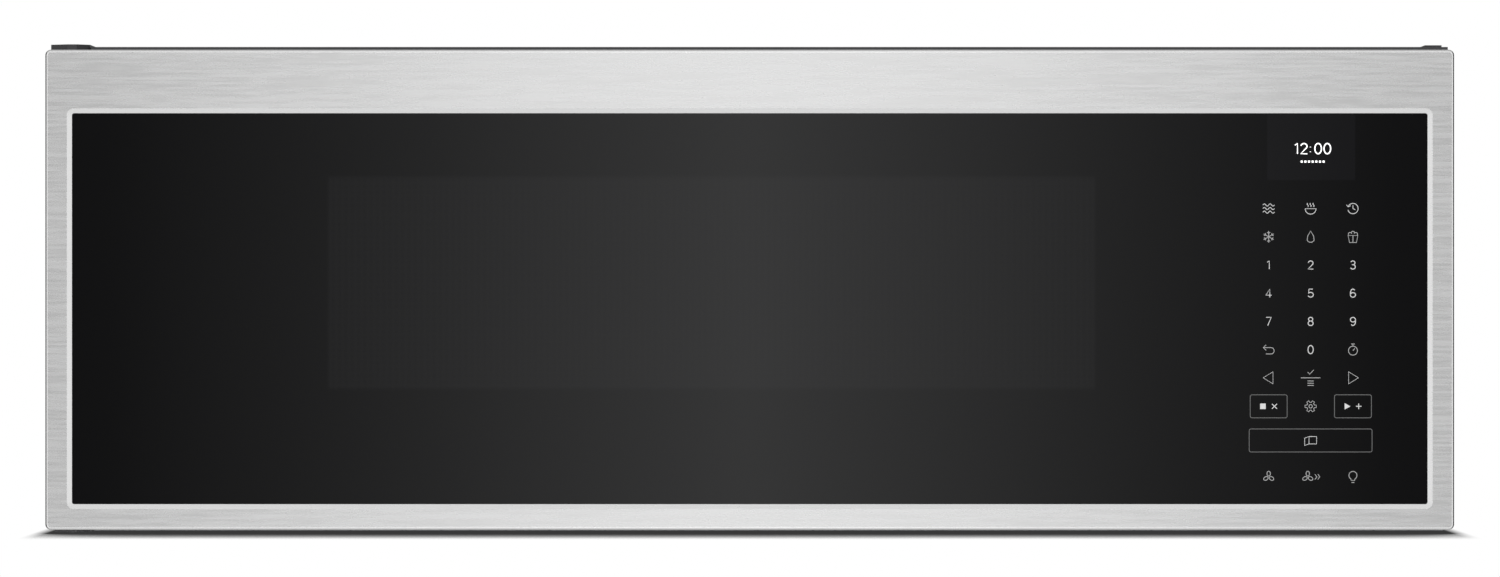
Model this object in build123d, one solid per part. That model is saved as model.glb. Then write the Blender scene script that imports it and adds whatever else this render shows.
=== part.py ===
from build123d import *
from math import cos, hypot, radians, sin
import os

# Low-profile over-the-range microwave with a hood below, in millimetres.
# X runs to the right, Y to the back and Z up. The origin is under the middle of the cabinet.

# Cabinet
overall_width = 758.8           # across the door, 29-7/8 in
overall_depth = 470.0           # door face to wall
cabinet_height = 261.0
side_inset = 1.4                # from the door's side to the cabinet's side
sheet = 1.0                     # cabinet sheet steel
front_plate_wall = 1.2
flange_width = 10.0             # inward flanges at the cabinet's back
running_gap = 0.05              # between a pin and its bush
free_gap = 0.3                  # between pieces that pass or rest on each other
loose_gap = 0.5                 # round pieces that drop into an opening

# Door frame and glass
door_lift = 2.0                 # the door's lower edge above the cabinet's base
door_height = 258.6             # the steel face
door_depth = 44.0
seal_gap = 1.0                  # door back to front plate
frame_depth = 24.0              # the steel skin's sides
frame_wall = 1.0
frame_corner = 3.0
frame_edge_round = 1.6
glass_view_width = 730.2        # the glass inside the steel
glass_view_height = 210.6
steel_below_glass = 13.8
bevel_width = 2.6               # sloped lip round the glass
bevel_depth = 1.6
rim_depth = 2.6                 # from the steel face back to the glass
glass_overlap = 4.0             # the glass behind the lip
glass_wall = 3.2
glass_corner = 5.0
view_corner = 1.2
tab_size = 17.0
tab_wall = 2.0
tab_width = 14.0
tab_rise = 38.0                 # outer tabs in from the door's ends
tab_x = 200.0
tab_screw_in = 10.5             # a tab's screw in from the skin's inside

# Oven cavity and its window
cavity_width = 540.0
cavity_height = 175.0
cavity_depth = 330.0
cavity_x = -20.6                # left of the middle, beside the works
cavity_low = 45.0
cavity_corner = 2.0
window_width = 413.0
window_height = 114.0
window_z = 135.0
window_corner = 6.0
screen_overlap = 10.0
pane_overlap = 12.0
pane_wall = 1.0
hole_columns = 30
hole_rows = 9
screen_hole = 2.0
recess_radius = 125.0           # pressed ring in the floor for the rollers
recess_depth = 3.0

# Door back
choke_margin = 22.0             # the door's raised panel past the cavity
choke_width = 16.0
choke_lip = 6.0
choke_lip_drop = 3.0            # the lip in front of the cover's face
plateau_set_back = 1.0          # raised panel in front of the door's back
panel_step = 21.0               # the raised panel behind the flat one
cover_wall = 2.0
cover_skin = 2.4
cover_lift = 0.6                # the cover's lower edge above the skin's
cap_strip = 2.3                 # the cover's edge above the skin
cover_ledge = 1.0               # the cover's hollow ends below the skin's edge
cover_cut_x = 6.0               # corner cut off beside the hinge
cover_cut_y = 5.0

# Door hinges
hinge_in_x = 10.0               # hinge line in from the door's side
hinge_in_y = 14.0               # hinge line forward of the door's back
hinge_pin = 3.0
bush_wall = 1.95
knuckle_wall = 1.4
knuckle_length = 18.0
upper_plate_wall = 3.2
lower_plate_wall = 1.6
hinge_plate_width = 21.0
hinge_plate_back = 40.0         # plate behind the front plate
hinge_nose = 10.0               # plate in front of the hinge line
hinge_leg = 30.0
hinge_leg_wall = 1.6

# Controls in the door
controls_x = 302.5
carrier_width = 92.0
carrier_depth = 9.7
carrier_wall = 1.5
carrier_low = 16.0
foot_width = 3.0
foot_height = 8.0
board_width = 84.0
board_low = 22.0
board_height = 164.0
board_wall = 1.6
display_width = 52.0
display_height = 40.8
display_view_width = 47.4
display_view_height = 35.5
display_z = 208.2
display_wall = 4.0
chip_size = 12.0

# Latch
hook_offset = 11.6              # hooks right of the choke
hook_low = 80.0
hook_spacing = 110.0
hook_width = 6.0
hook_height = 6.0
hook_drop = 3.0                 # the nose below the arm
hook_reach = 14.8               # past the front plate
hook_lift = 4.0
bar_width = 12.0
bar_wall = 3.0
bar_end = 15.0                  # the bar past the hooks
slot_side_gap = 1.5
spring_room = 17.0
spring_radius = 1.7
spring_wire = 0.35
spring_pitch = 1.9
latch_board_width = 32.0
latch_board_wall = 2.0
latch_board_depth = 24.8
latch_board_low = 30.0
latch_board_top = 206.0
solenoid_width = 24.0
solenoid_depth = 21.0
solenoid_height = 36.0
plunger_radius = 3.0
switch_width = 10.3
switch_height = 16.0
switch_depth = 20.0
switch_button = 1.5

# Vent grille and charcoal filter
grille_width = 600.0
grille_depth = 50.0
grille_set_back = 4.8           # grille opening behind the front plate
grille_flange = 9.0
grille_wall = 1.0
grille_columns = 10
grille_rows = 5
grille_slot_length = 54.0
grille_slot_width = 5.0
grille_tray_depth = 22.5
grille_tray_wall = 1.5
grille_ledge = 4.0
end_cap_width = 10.4
end_cap_height = 2.7
end_cap_depth = 37.0
charcoal_height = 12.0

# Exhaust
duct_width = 253.0              # fits a 3-1/4 x 10 in duct
duct_depth = 81.5
duct_y = 182.0
duct_wall = 1.2
duct_height = 14.0              # low enough that the door hides it from the front
duct_flange = 9.0
ledge_width = 2.0
ledge_height = 5.0
flap_wall = 1.2
flap_pin = 1.5
flap_pin_in = 4.0               # flap's hinge line in from the duct wall

# Hood blower
blower_y = 186.0
blower_z = 150.0
scroll_radius = 43.0
scroll_wall = 1.5
scroll_length = 84.0
blower_inlet = 28.0
motor_length = 82.0
motor_radius = 38.0
blower_shaft_radius = 4.0
wheel_radius = 32.0
wheel_ring = 6.0
wheel_end_gap = 5.0
blade_count = 20
blade_wall = 1.0

# Base
filter_width = 249.0
filter_depth = 128.5
filter_wall = 8.0
filter_frame = 10.0
filter_mesh_wall = 2.0
filter_spacing = 280.0
filter_y = -5.25
filter_lift = 0.6
filter_columns = 22
filter_rows = 11
filter_hole_share = 0.75
filter_hinge_in = 4.0
filter_pin = 1.5
filter_ear_wall = 1.6
lamp_spacing = 300.0
lamp_y = -150.0
lens_width = 70.0
lens_depth = 45.0
lens_rim = 4.0
lens_wall = 2.0
lamp_box_width = 50.0
lamp_box_depth = 30.0
lamp_box_height = 15.0
lamp_leg = 8.0

# Turntable
motor_can_radius = 24.5
motor_can_height = 19.0
turn_shaft_radius = 3.4
coupler_hub = 9.0
coupler_reach = 22.0
coupler_arm = 8.0
coupler_height = 12.0
roller_circle = 95.0
roller_radius = 7.5
roller_width = 10.0
roller_axle = 1.8
ring_outer = 86.0
ring_width = 6.0
roller_count = 3
tray_radius = 152.0
tray_wall = 4.5
tray_rim = 14.0
tray_flat = 126.0
lug_radius = 3.0
lug_circle = 14.0
lug_length = 6.0

# Works beside the cavity
guide_y = 25.0
guide_z = 172.0
guide_length = 90.0
guide_height = 85.0
guide_width = 40.0
port_length = 44.0
port_height = 46.0
magnetron_length = 80.0
magnetron_width = 80.0
magnetron_height = 70.0
magnetron_core = 19.0
antenna_radius = 7.5
antenna_length = 20.0
core_x = 314.0
core_y = -17.0
core_width = 88.0
core_depth = 60.0
core_height = 72.0
core_leg = 28.0
core_window = 18.0
core_window_height = 44.0
coil_stand = 18.0
capacitor_x = 345.0
capacitor_y = 108.0
capacitor_length = 50.0
capacitor_width = 32.0
capacitor_height = 90.0
fan_y = 150.0
fan_z = 110.0
fan_wall_height = 200.0
fan_radius = 47.0
fan_gap = 4.0
fan_ring_wall = 1.5
fan_ring_length = 22.0
fan_hub = 12.0
fan_blades = 5
fan_pitch = 55.0                # blades turned from the fan's axis, degrees
fan_blade_wall = 1.6
fan_motor_radius = 20.0
fan_motor_length = 26.0
fan_shaft = 2.5
power_y = -115.0
power_drop = 8.5                # the board below the grille's tray
power_length = 86.0
power_height = 130.0
power_stand = 6.0
lamp_case_y = -45.0
lamp_case_z = 197.0
lamp_case = 30.0
lamp_socket = 6.0
lamp_bulb = 8.0

# Wall plate, cord and screws
wall_plate_wall = 2.0
wall_plate_width = 640.0
wall_plate_low = 20.0
wall_plate_height = 130.0
stud_spacing = 406.4            # 16 in between wall studs
stud_rows = 100.0
stud_hole = 3.5
head_room = 8.0                 # holes behind the lag screws' heads
hook_tab_x = 250.0
hook_tab_width = 40.0
hook_tab_reach = 9.0
hook_tab_rise = 10.0
nut_x = 320.0
nut_y = 20.0
nut_bore = 2.6
nut_length = 8.0
nut_plate = 30.0
bolt_hole = 3.5
gland_x = 300.0
gland_y = 190.0
gland_bore = 5.5
gland_neck = 9.0
gland_flange = 12.0
gland_length = 8.0
screw_head = 3.6
screw_head_height = 1.4
hinge_head_height = 1.2
screw_shank = 1.7
screw_length = 8.0
screw_slack = 0.1

# Planes and lines worked out from the sizes
front = -overall_depth / 2
wall = overall_depth / 2
door_half = overall_width / 2
door_low = door_lift
door_top = door_low + door_height
door_back = front + door_depth
frame_back = front + frame_depth
plate_front = door_back + seal_gap
plate_back = plate_front + front_plate_wall
body_half = door_half - side_inset
inner_half = body_half - sheet
inner_top = cabinet_height - sheet
panel_back = wall - wall_plate_wall
panel_front = panel_back - sheet
skin_half = door_half - frame_wall
skin_low = door_low + frame_wall
skin_top = door_top - frame_wall
glass_front = front + rim_depth
glass_back = glass_front + glass_wall
view_low = door_low + steel_below_glass
view_top = view_low + glass_view_height
view_half = glass_view_width / 2
cavity_left = cavity_x - cavity_width / 2
cavity_right = cavity_x + cavity_width / 2
cavity_top = cavity_low + cavity_height
cavity_back = plate_back + cavity_depth
turn_y = plate_back + cavity_depth / 2
recess_low = cavity_low - recess_depth
plateau_left = cavity_left - choke_margin
plateau_right = cavity_right + choke_margin
plateau_low = cavity_low - choke_margin
plateau_top = cavity_top + choke_margin
plateau_back = door_back - plateau_set_back
base_front = plateau_back - sheet - panel_step
base_back = base_front + sheet
choke_right = plateau_right + choke_width + sheet
hook_x = choke_right + hook_offset
hook_heights = [hook_low, hook_low + hook_spacing]
hook_tip = plate_back + hook_reach
hinge_x = -door_half + hinge_in_x
hinge_y = door_back - hinge_in_y
hinge_left = -body_half - sheet
hinge_right = hinge_left + hinge_plate_width
hinge_side = hinge_y - hinge_nose / 3
bush_bore = hinge_pin + running_gap
bush_radius = bush_bore + bush_wall
knuckle_radius = bush_radius + knuckle_wall
cover_low = door_low + cover_lift
cover_top = door_top + cap_strip
bay_x = cavity_right + 2 * sheet
bay_mid = (bay_x + inner_half) / 2
power_z = cabinet_height - grille_tray_depth - power_drop - power_height / 2
divider_back = fan_y + fan_ring_length + 3
carrier_back = glass_back + carrier_depth
bar_back = base_front - loose_gap
bar_front = bar_back - bar_wall
grille_front = plate_back + grille_set_back
grille_back = grille_front + grille_depth
duct_front = duct_y - duct_depth / 2
duct_back = duct_y + duct_depth / 2
flap_y = duct_back - duct_wall - flap_pin_in
flap_low = cabinet_height + duct_wall + ledge_height + free_gap
flap_z = flap_low + flap_wall / 2
roller_z = recess_low + free_gap + roller_radius
tray_low = roller_z + roller_radius + free_gap
filter_hinge_y = filter_y + filter_depth / 2 - filter_hinge_in
filter_hinge_z = filter_lift + filter_wall / 2
filter_centres = [cavity_x - filter_spacing / 2, cavity_x + filter_spacing / 2]
lamp_centres = [cavity_x - lamp_spacing / 2, cavity_x + lamp_spacing / 2]


def box(x0, x1, y0, y1, z0, z1):
    return Pos((x0 + x1) / 2, (y0 + y1) / 2, (z0 + z1) / 2) * Box(x1 - x0, y1 - y0, z1 - z0)


def rod_x(y, z, radius, x0, x1):
    return Pos((x0 + x1) / 2, y, z) * Rot(0, 90, 0) * Cylinder(radius, x1 - x0)


def rod_y(x, z, radius, y0, y1):
    return Pos(x, (y0 + y1) / 2, z) * Rot(90, 0, 0) * Cylinder(radius, y1 - y0)


def rod_z(x, y, radius, z0, z1):
    return Pos(x, y, (z0 + z1) / 2) * Cylinder(radius, z1 - z0)


def rounded(u0, u1, v0, v1, corner):
    return Pos((u0 + u1) / 2, (v0 + v1) / 2) * RectangleRounded(u1 - u0, v1 - v0, corner)


def slab_y(sketch, y0, y1):
    # the sketch is drawn in X and Z
    return extrude(Plane.XZ.offset(-y0) * sketch, amount=y0 - y1)


def slab_z(sketch, z0, z1):
    return extrude(Plane.XY.offset(z0) * sketch, amount=z1 - z0)


def group(shapes):
    return Compound(children=list(shapes))


def spread(count, pitch):
    # places of a row of copies, centred on nought
    return [(index - (count - 1) / 2) * pitch for index in range(count)]


def pierced(width, height, places, hole):
    # a flat sheet in X and Y with one hole at each place
    outer = Wire.make_polygon([(-width / 2, -height / 2), (width / 2, -height / 2),
                               (width / 2, height / 2), (-width / 2, height / 2)])
    return Face(outer, [hole(u, v) for u, v in places])


def view_edge(grow):
    return rounded(-view_half - grow, view_half + grow, view_low - grow, view_top + grow,
                   view_corner + grow)


def skin_inside():
    return rounded(-skin_half, skin_half, skin_low, skin_top, frame_corner - frame_wall)


def tab_places():
    # middle of each tab at the skin, and the way in from it
    side_z = [door_low + tab_rise, (door_low + door_top) / 2, door_top - tab_rise]
    sides = [(side * skin_half, z, -side, 0) for side in (-1, 1) for z in side_z]
    ends = [(x, z, 0, way) for x in (-tab_x, tab_x) for z, way in ((skin_low, 1), (skin_top, -1))]
    return sides + ends


def tab_screws():
    return [(x + dx * tab_screw_in, z + dz * tab_screw_in) for x, z, dx, dz in tab_places()]


def door_frame():
    skin = slab_y(rounded(-door_half, door_half, door_low, door_top, frame_corner), front, frame_back)
    skin = fillet(skin.faces().sort_by(Axis.Y)[0].edges(), frame_edge_round)
    hollow = slab_y(skin_inside(), front + frame_wall, frame_back)
    lip = slab_y(view_edge(glass_overlap), front + frame_wall, glass_front)
    ahead = 0.5
    wide = view_edge(bevel_width * (1 + ahead / bevel_depth))
    bevel = loft([Plane.XZ.offset(ahead - front) * wide,
                  Plane.XZ.offset(-front - bevel_depth) * view_edge(0)])
    skin = skin - hollow + lip - bevel - slab_y(view_edge(0), front, glass_front)
    for x, z, dx, dz in tab_places():
        half_x = tab_width / 2 if dz else tab_size / 2
        half_z = tab_size / 2 if dz else tab_width / 2
        mid_x, mid_z = x + dx * half_x, z + dz * half_z
        skin += box(mid_x - half_x, mid_x + half_x, base_front - tab_wall, base_front,
                    mid_z - half_z, mid_z + half_z)
    for x, z in tab_screws():
        skin -= rod_y(x, z, screw_shank + screw_slack, base_front - tab_wall, base_front)
    return skin


def door_glass():
    return slab_y(rounded(-view_half - glass_overlap, view_half + glass_overlap,
                          view_low - glass_overlap, view_top + glass_overlap, glass_corner),
                  glass_front, glass_back)


def control_carrier():
    left, right = controls_x - carrier_width / 2, controls_x + carrier_width / 2
    top = view_top + glass_overlap
    tray = box(left, right, glass_back, carrier_back, carrier_low, top)
    tray -= box(left + carrier_wall, right - carrier_wall, glass_back, carrier_back - carrier_wall,
                carrier_low + carrier_wall, top - carrier_wall)
    for x in (choke_right, right - foot_width):
        for z in (carrier_low, top - foot_height):
            tray += box(x, x + foot_width, carrier_back, base_front, z, z + foot_height)
    return tray


def touch_board():
    left = controls_x - board_width / 2
    board = box(left, left + board_width, glass_back, glass_back + board_wall,
                board_low, board_low + board_height)
    for z in (board_low + board_height / 4, board_low + board_height / 2):
        board += box(controls_x - chip_size / 2, controls_x + chip_size / 2, glass_back + board_wall,
                     glass_back + 2 * board_wall, z - chip_size / 2, z + chip_size / 2)
    plug_z = board_low + board_height - chip_size
    return board + box(controls_x - chip_size, controls_x + chip_size, glass_back + board_wall,
                       glass_back + 4 * board_wall, plug_z - chip_size / 3, plug_z + chip_size / 3)


def display_module():
    half_x, half_z = display_width / 2, display_height / 2
    case = box(controls_x - half_x, controls_x + half_x, glass_back, glass_back + display_wall,
               display_z - half_z, display_z + half_z)
    half_x, half_z = display_view_width / 2, display_view_height / 2
    return case - box(controls_x - half_x, controls_x + half_x, glass_back,
                      glass_back + display_wall / 4, display_z - half_z, display_z + half_z)


def hook_slot(height, y0, y1, gap=0.0):
    # the way for one hook, through a wall from y0 to y1
    half = hook_width / 2 + slot_side_gap + gap
    return box(hook_x - half, hook_x + half, y0, y1, height - hook_height / 2 - loose_gap - gap,
               height + hook_height / 2 + hook_lift + loose_gap + gap)


def ring_box(grow_out, grow_in, y0, y1):
    # a square ring round the door's raised panel
    outer = box(plateau_left - grow_out, plateau_right + grow_out, y0, y1,
                plateau_low - grow_out, plateau_top + grow_out)
    return outer - box(plateau_left - grow_in, plateau_right + grow_in, y0, y1,
                       plateau_low - grow_in, plateau_top + grow_in)


def knuckle(z0, z1):
    web = box(hinge_x - knuckle_radius, hinge_x + knuckle_radius, base_back, hinge_y, z0, z1)
    return web + rod_z(hinge_x, hinge_y, knuckle_radius, z0, z1)


def knuckle_spans():
    low = cover_low + cover_skin + loose_gap
    top = door_top - cover_skin - loose_gap
    return [(low, low + knuckle_length), (top - knuckle_length, top)]


def choke_panel():
    panel = slab_y(skin_inside(), base_front, base_back)
    panel += ring_box(0, -sheet, base_front, plateau_back)
    panel += box(plateau_left, plateau_right, plateau_back - sheet, plateau_back,
                 plateau_low, plateau_top)
    panel -= box(plateau_left + sheet, plateau_right - sheet, base_front, plateau_back - sheet,
                 plateau_low + sheet, plateau_top - sheet)
    lip_back = door_back - cover_wall - choke_lip_drop
    panel += ring_box(choke_width + sheet, choke_width, base_front, lip_back)
    panel += ring_box(choke_width, choke_width - choke_lip, lip_back - sheet, lip_back)
    panel -= slab_y(rounded(cavity_x - window_width / 2, cavity_x + window_width / 2,
                            window_z - window_height / 2, window_z + window_height / 2,
                            window_corner), plateau_back - sheet, plateau_back)
    for z0, z1 in knuckle_spans():
        panel += knuckle(z0, z1)
        panel -= rod_z(hinge_x, hinge_y, bush_radius, z0, z1)
    for height in hook_heights:
        panel -= hook_slot(height, base_front, base_back)
    # straps that guide the latch bar, and the stop that its spring pushes on
    half_in = bar_width / 2 + free_gap
    half_out = half_in + front_plate_wall
    strap_front = bar_front - free_gap - front_plate_wall
    for part in (1 / 3, 2 / 3):
        z = hook_low + hook_spacing * part
        panel += box(hook_x - half_out, hook_x + half_out, strap_front, base_front,
                     z - hook_height, z + hook_height)
        panel -= box(hook_x - half_in, hook_x + half_in, bar_front - free_gap, base_front,
                     z - hook_height, z + hook_height)
    stop = hook_heights[-1] + bar_end + spring_room
    panel += box(hook_x - half_in, hook_x + half_in, strap_front, base_front, stop, stop + sheet)
    for x, z in tab_screws():
        panel -= rod_y(x, z, screw_shank + screw_slack, base_front, base_back)
    return panel


def window_screen():
    width, height = window_width + 2 * screen_overlap, window_height + 2 * screen_overlap
    places = [(u, v) for u in spread(hole_columns, window_width / hole_columns)
              for v in spread(hole_rows, window_height / hole_rows)]
    sheet_face = pierced(width, height, places,
                         lambda u, v: Wire.make_circle(screen_hole, Plane((u, v, 0))))
    return slab_y(Pos(cavity_x, window_z) * sheet_face, plateau_back - 2 * sheet, plateau_back - sheet)


def inner_window():
    half_x, half_z = window_width / 2 + pane_overlap, window_height / 2 + pane_overlap
    return slab_y(rounded(cavity_x - half_x, cavity_x + half_x, window_z - half_z, window_z + half_z,
                          window_corner), plateau_back, plateau_back + pane_wall)


def cover_outline(inset, y0):
    # plan of the cover with its corner cut beside the hinge, drawn in X and Y
    slope = hypot(cover_cut_x, cover_cut_y)
    left, right, back = -skin_half + inset, skin_half - inset, door_back - min(inset, cover_wall)
    drop = cover_cut_y + inset * (slope - cover_cut_y) / cover_cut_x
    along = (inset * slope + (cover_cut_y - inset) * cover_cut_x) / cover_cut_y
    return make_face(Polyline((left, y0), (right, y0), (right, back), (-skin_half + along, back),
                              (left, door_back - drop), (left, y0)))


def choke_cover():
    tuck_front = base_back
    cover = slab_z(cover_outline(0, frame_back), cover_low, cover_top)
    cover += slab_y(skin_inside(), tuck_front, frame_back)
    cover -= slab_z(cover_outline(cover_skin, tuck_front), cover_low + cover_skin,
                    door_top - cover_ledge)
    cover -= box(plateau_left - free_gap, plateau_right + free_gap, tuck_front, door_back,
                 plateau_low - free_gap, plateau_top + free_gap)
    for height in hook_heights:
        cover -= hook_slot(height, door_back - cover_wall, door_back, loose_gap)
    # room for the upper hinge plate as the door swings, and for the bushes
    notch = hypot(hinge_right - hinge_x, hinge_y - hinge_side) + loose_gap
    cover -= box(-door_half, hinge_x + notch, frame_back, door_back, door_top, cover_top)
    cover -= rod_z(hinge_x, hinge_y, bush_radius + loose_gap, cover_low, cover_top)
    return cover


def bush_spans():
    low, high = knuckle_spans()
    return [(lower_plate_wall + free_gap, low[1]), (high[0], cabinet_height - free_gap)]


def hinge_bushes():
    return group(rod_z(hinge_x, hinge_y, bush_radius, z0, z1) - rod_z(hinge_x, hinge_y, bush_bore, z0, z1)
                 for z0, z1 in bush_spans())


def hinge_outline(back):
    # a tongue round the hinge line, with its front corners cut
    nose = hinge_y - hinge_nose
    return make_face(Polyline((hinge_left, back), (hinge_left, hinge_side), (hinge_x, nose),
                              (hinge_x + hinge_nose / 2, nose), (hinge_right, hinge_side),
                              (hinge_right, back), (hinge_left, back)))


def hinge_screw_places():
    x = (hinge_left + hinge_right) / 2
    return [(x, plate_back + hinge_plate_back * share) for share in (0.3, 0.75)]


def upper_hinge():
    top = cabinet_height + upper_plate_wall
    plate = slab_z(hinge_outline(plate_back + hinge_plate_back), cabinet_height, top)
    plate += rod_z(hinge_x, hinge_y, hinge_pin, bush_spans()[1][0] + free_gap, cabinet_height)
    for x, y in hinge_screw_places():
        plate -= rod_z(x, y, screw_shank + screw_slack, cabinet_height, top)
    return plate


def lower_hinge():
    left, right = -inner_half + screw_slack, hinge_right
    leg_back = plate_back + hinge_leg_wall
    tongue = slab_z(hinge_outline(leg_back), 0, lower_plate_wall)
    tongue = tongue & box(left, right, front, leg_back, 0, lower_plate_wall)
    leg = box(left, right, plate_back, leg_back, 0, hinge_leg)
    pin = rod_z(hinge_x, hinge_y, hinge_pin, 0, bush_spans()[0][1] - free_gap)
    return tongue + leg + pin


def door_screws():
    return group(rod_y(x, z, screw_head, base_back, frame_back)
                 + rod_y(x, z, screw_shank, base_front - tab_wall, base_back)
                 for x, z in tab_screws())


def latch_hooks():
    low, high = hook_heights
    hooks = box(hook_x - bar_width / 2, hook_x + bar_width / 2, bar_front, bar_back,
                low - bar_end, high + bar_end)
    half = hook_width / 2
    nose_front = plate_back + front_plate_wall
    for height in hook_heights:
        hooks += box(hook_x - half, hook_x + half, bar_front, hook_tip,
                     height - hook_height / 2, height + hook_height / 2)
        hooks += box(hook_x - half, hook_x + half, nose_front, hook_tip,
                     height - hook_height / 2 - hook_drop, height - hook_height / 2)
    return hooks


def nose_low(height):
    return height - hook_height / 2 - hook_drop


def latch_spring():
    start = hook_heights[-1] + bar_end
    y = bar_back - spring_radius - spring_wire
    coil = Helix(pitch=spring_pitch, height=spring_room - 2 * spring_wire, radius=spring_radius)
    wire = sweep(Plane(origin=coil @ 0, z_dir=coil % 0) * Circle(spring_wire), path=coil)
    return Pos(hook_x, y, start + spring_wire) * wire


def latch_board():
    half = latch_board_width / 2
    back = plate_back + latch_board_depth
    board = box(hook_x - half, hook_x + half, plate_back, back, latch_board_low, latch_board_top)
    board -= box(hook_x - half + latch_board_wall, hook_x + half - latch_board_wall, plate_back,
                 back - latch_board_wall, latch_board_low, latch_board_top)
    return board


def board_face():
    return plate_back + latch_board_depth - latch_board_wall


def switch_places():
    # lower edge of each switch, and the side that its button is on
    low, high = hook_heights
    above = low + hook_height / 2 + hook_lift + hook_height
    button_gap = switch_button / 2 + free_gap
    return [(nose_low(high) - button_gap - switch_height, 1), (above, -1),
            (above + switch_height + switch_button, 1)]


def interlock_switches():
    switches = []
    back = board_face()
    for low, side in switch_places():
        case = box(hook_x - switch_width / 2, hook_x + switch_width / 2, back - switch_depth, back,
                   low, low + switch_height)
        end = low + switch_height if side > 0 else low
        ends = sorted([end, end + side * switch_button / 2])
        switches.append(case + rod_z(hook_x, back - switch_depth / 2, switch_button, *ends))
    return group(switches)


def plunger_y():
    return board_face() - solenoid_depth / 2


def opener_solenoid():
    back = board_face()
    top = latch_board_low + solenoid_height
    case = box(hook_x - solenoid_width / 2, hook_x + solenoid_width / 2, back - solenoid_depth, back,
               latch_board_low, top)
    return case - rod_z(hook_x, plunger_y(), plunger_radius + running_gap, latch_board_low + hook_lift, top)


def opener_plunger():
    return rod_z(hook_x, plunger_y(), plunger_radius, latch_board_low + 2 * hook_lift,
                 nose_low(hook_low) - free_gap)


def front_plate():
    plate = box(-body_half, body_half, plate_front, plate_back, 0, cabinet_height)
    plate -= slab_y(rounded(cavity_left, cavity_right, cavity_low, cavity_top, cavity_corner),
                    plate_front, plate_back)
    for height in hook_heights:
        plate -= hook_slot(height, plate_front, plate_back)
    tongue_right = hinge_right + loose_gap
    return plate - box(-inner_half - loose_gap, tongue_right, plate_front, plate_back, 0,
                       lower_plate_wall + free_gap)


def rear_screw_places():
    inset = flange_width / 2 + sheet
    sides = [(side * (body_half - inset), z) for side in (-1, 1)
             for z in (cabinet_height / 6, cabinet_height / 2, cabinet_height * 5 / 6)]
    return sides + [(side * body_half / 2, cabinet_height - inset) for side in (-1, 1)]


def outer_wrap():
    wrap = box(-body_half, body_half, plate_back, panel_front, 0, cabinet_height)
    wrap -= box(-inner_half, inner_half, plate_back, panel_front - sheet, 0, inner_top)
    wrap -= box(-inner_half + flange_width, inner_half - flange_width, panel_front - sheet, panel_front,
                0, inner_top - flange_width)
    wrap -= box(-grille_width / 2 - loose_gap, grille_width / 2 + loose_gap, grille_front - loose_gap,
                grille_back + loose_gap, inner_top, cabinet_height)
    wrap -= box(-duct_width / 2 + duct_wall, duct_width / 2 - duct_wall, duct_front + duct_wall,
                duct_back - duct_wall, inner_top, cabinet_height)
    wrap -= rod_z(gland_x, gland_y, gland_neck, inner_top, cabinet_height)
    for x, y in hinge_screw_places():
        wrap -= rod_z(x, y, screw_shank + screw_slack, inner_top, cabinet_height)
    for x, z in rear_screw_places():
        wrap -= rod_y(x, z, screw_shank + screw_slack, panel_front - sheet, panel_front)
    # weld nuts under the holes for the bolts from the cupboard above
    for x in (-nut_x, nut_x):
        wrap += box(x - nut_plate / 2, x + nut_plate / 2, nut_y - nut_plate / 2, nut_y + nut_plate / 2,
                    inner_top - nut_length, inner_top)
        wrap -= rod_z(x, nut_y, bolt_hole, inner_top, cabinet_height)
        wrap -= rod_z(x, nut_y, nut_bore, inner_top - nut_length, inner_top)
    return wrap


def rear_panel():
    panel = box(-body_half, body_half, panel_front, panel_back, 0, cabinet_height)
    for x, z in rear_screw_places():
        panel -= rod_y(x, z, screw_shank + screw_slack, panel_front, panel_back)
    for x, z in stud_places():
        panel -= rod_y(x, z, head_room, panel_front, panel_back)
    tab_top = wall_plate_low + wall_plate_height
    for x in (-hook_tab_x, hook_tab_x):
        half = hook_tab_width / 2 + loose_gap
        panel -= box(x - half, x + half, panel_front, panel_back,
                     tab_top - 2 * wall_plate_wall, tab_top + hook_tab_rise)
    return panel


def stud_places():
    middle = wall_plate_low + wall_plate_height / 2
    return [(x * stud_spacing / 2, middle + z * stud_rows / 2) for x in (-1, 1) for z in (-1, 1)]


def wall_plate():
    top = wall_plate_low + wall_plate_height
    plate = box(-wall_plate_width / 2, wall_plate_width / 2, panel_back, wall, wall_plate_low, top)
    for x, z in stud_places():
        plate -= rod_y(x, z, stud_hole, panel_back, wall)
    # hooks that the rear panel hangs on
    reach = panel_back - hook_tab_reach
    for x in (-hook_tab_x, hook_tab_x):
        half = hook_tab_width / 2
        plate += box(x - half, x + half, reach, panel_back, top - wall_plate_wall, top)
        plate += box(x - half, x + half, reach, reach + wall_plate_wall, top, top + hook_tab_rise)
    return plate


def filter_opening(x):
    half_x, half_y = filter_width / 2 + loose_gap, filter_depth / 2
    return [x - half_x, x + half_x, filter_y - half_y - loose_gap, filter_y + half_y + 2 * loose_gap]


def base_plate():
    plate = box(-inner_half, inner_half, plate_back, panel_front - sheet, 0, sheet)
    for x in lamp_centres:
        plate -= box(x - lens_width / 2, x + lens_width / 2, lamp_y - lens_depth / 2,
                     lamp_y + lens_depth / 2, 0, sheet)
    for x in filter_centres:
        left, right, fore, back = filter_opening(x)
        plate -= box(left, right, fore, back, 0, sheet)
        # ears that carry the filter's pins
        for side, edge in ((-1, left), (1, right)):
            ends = sorted([edge + side * free_gap, edge + side * (free_gap + filter_ear_wall)])
            ear = box(*ends, filter_hinge_y - filter_wall / 2, filter_hinge_y + filter_wall / 2, 0,
                      filter_hinge_z + filter_wall / 2)
            plate += ear - rod_x(filter_hinge_y, filter_hinge_z, filter_pin + running_gap, *ends)
    leg_right = hinge_right + loose_gap
    return plate - box(-inner_half, leg_right, plate_back, plate_back + hinge_leg_wall + free_gap, 0, sheet)


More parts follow.
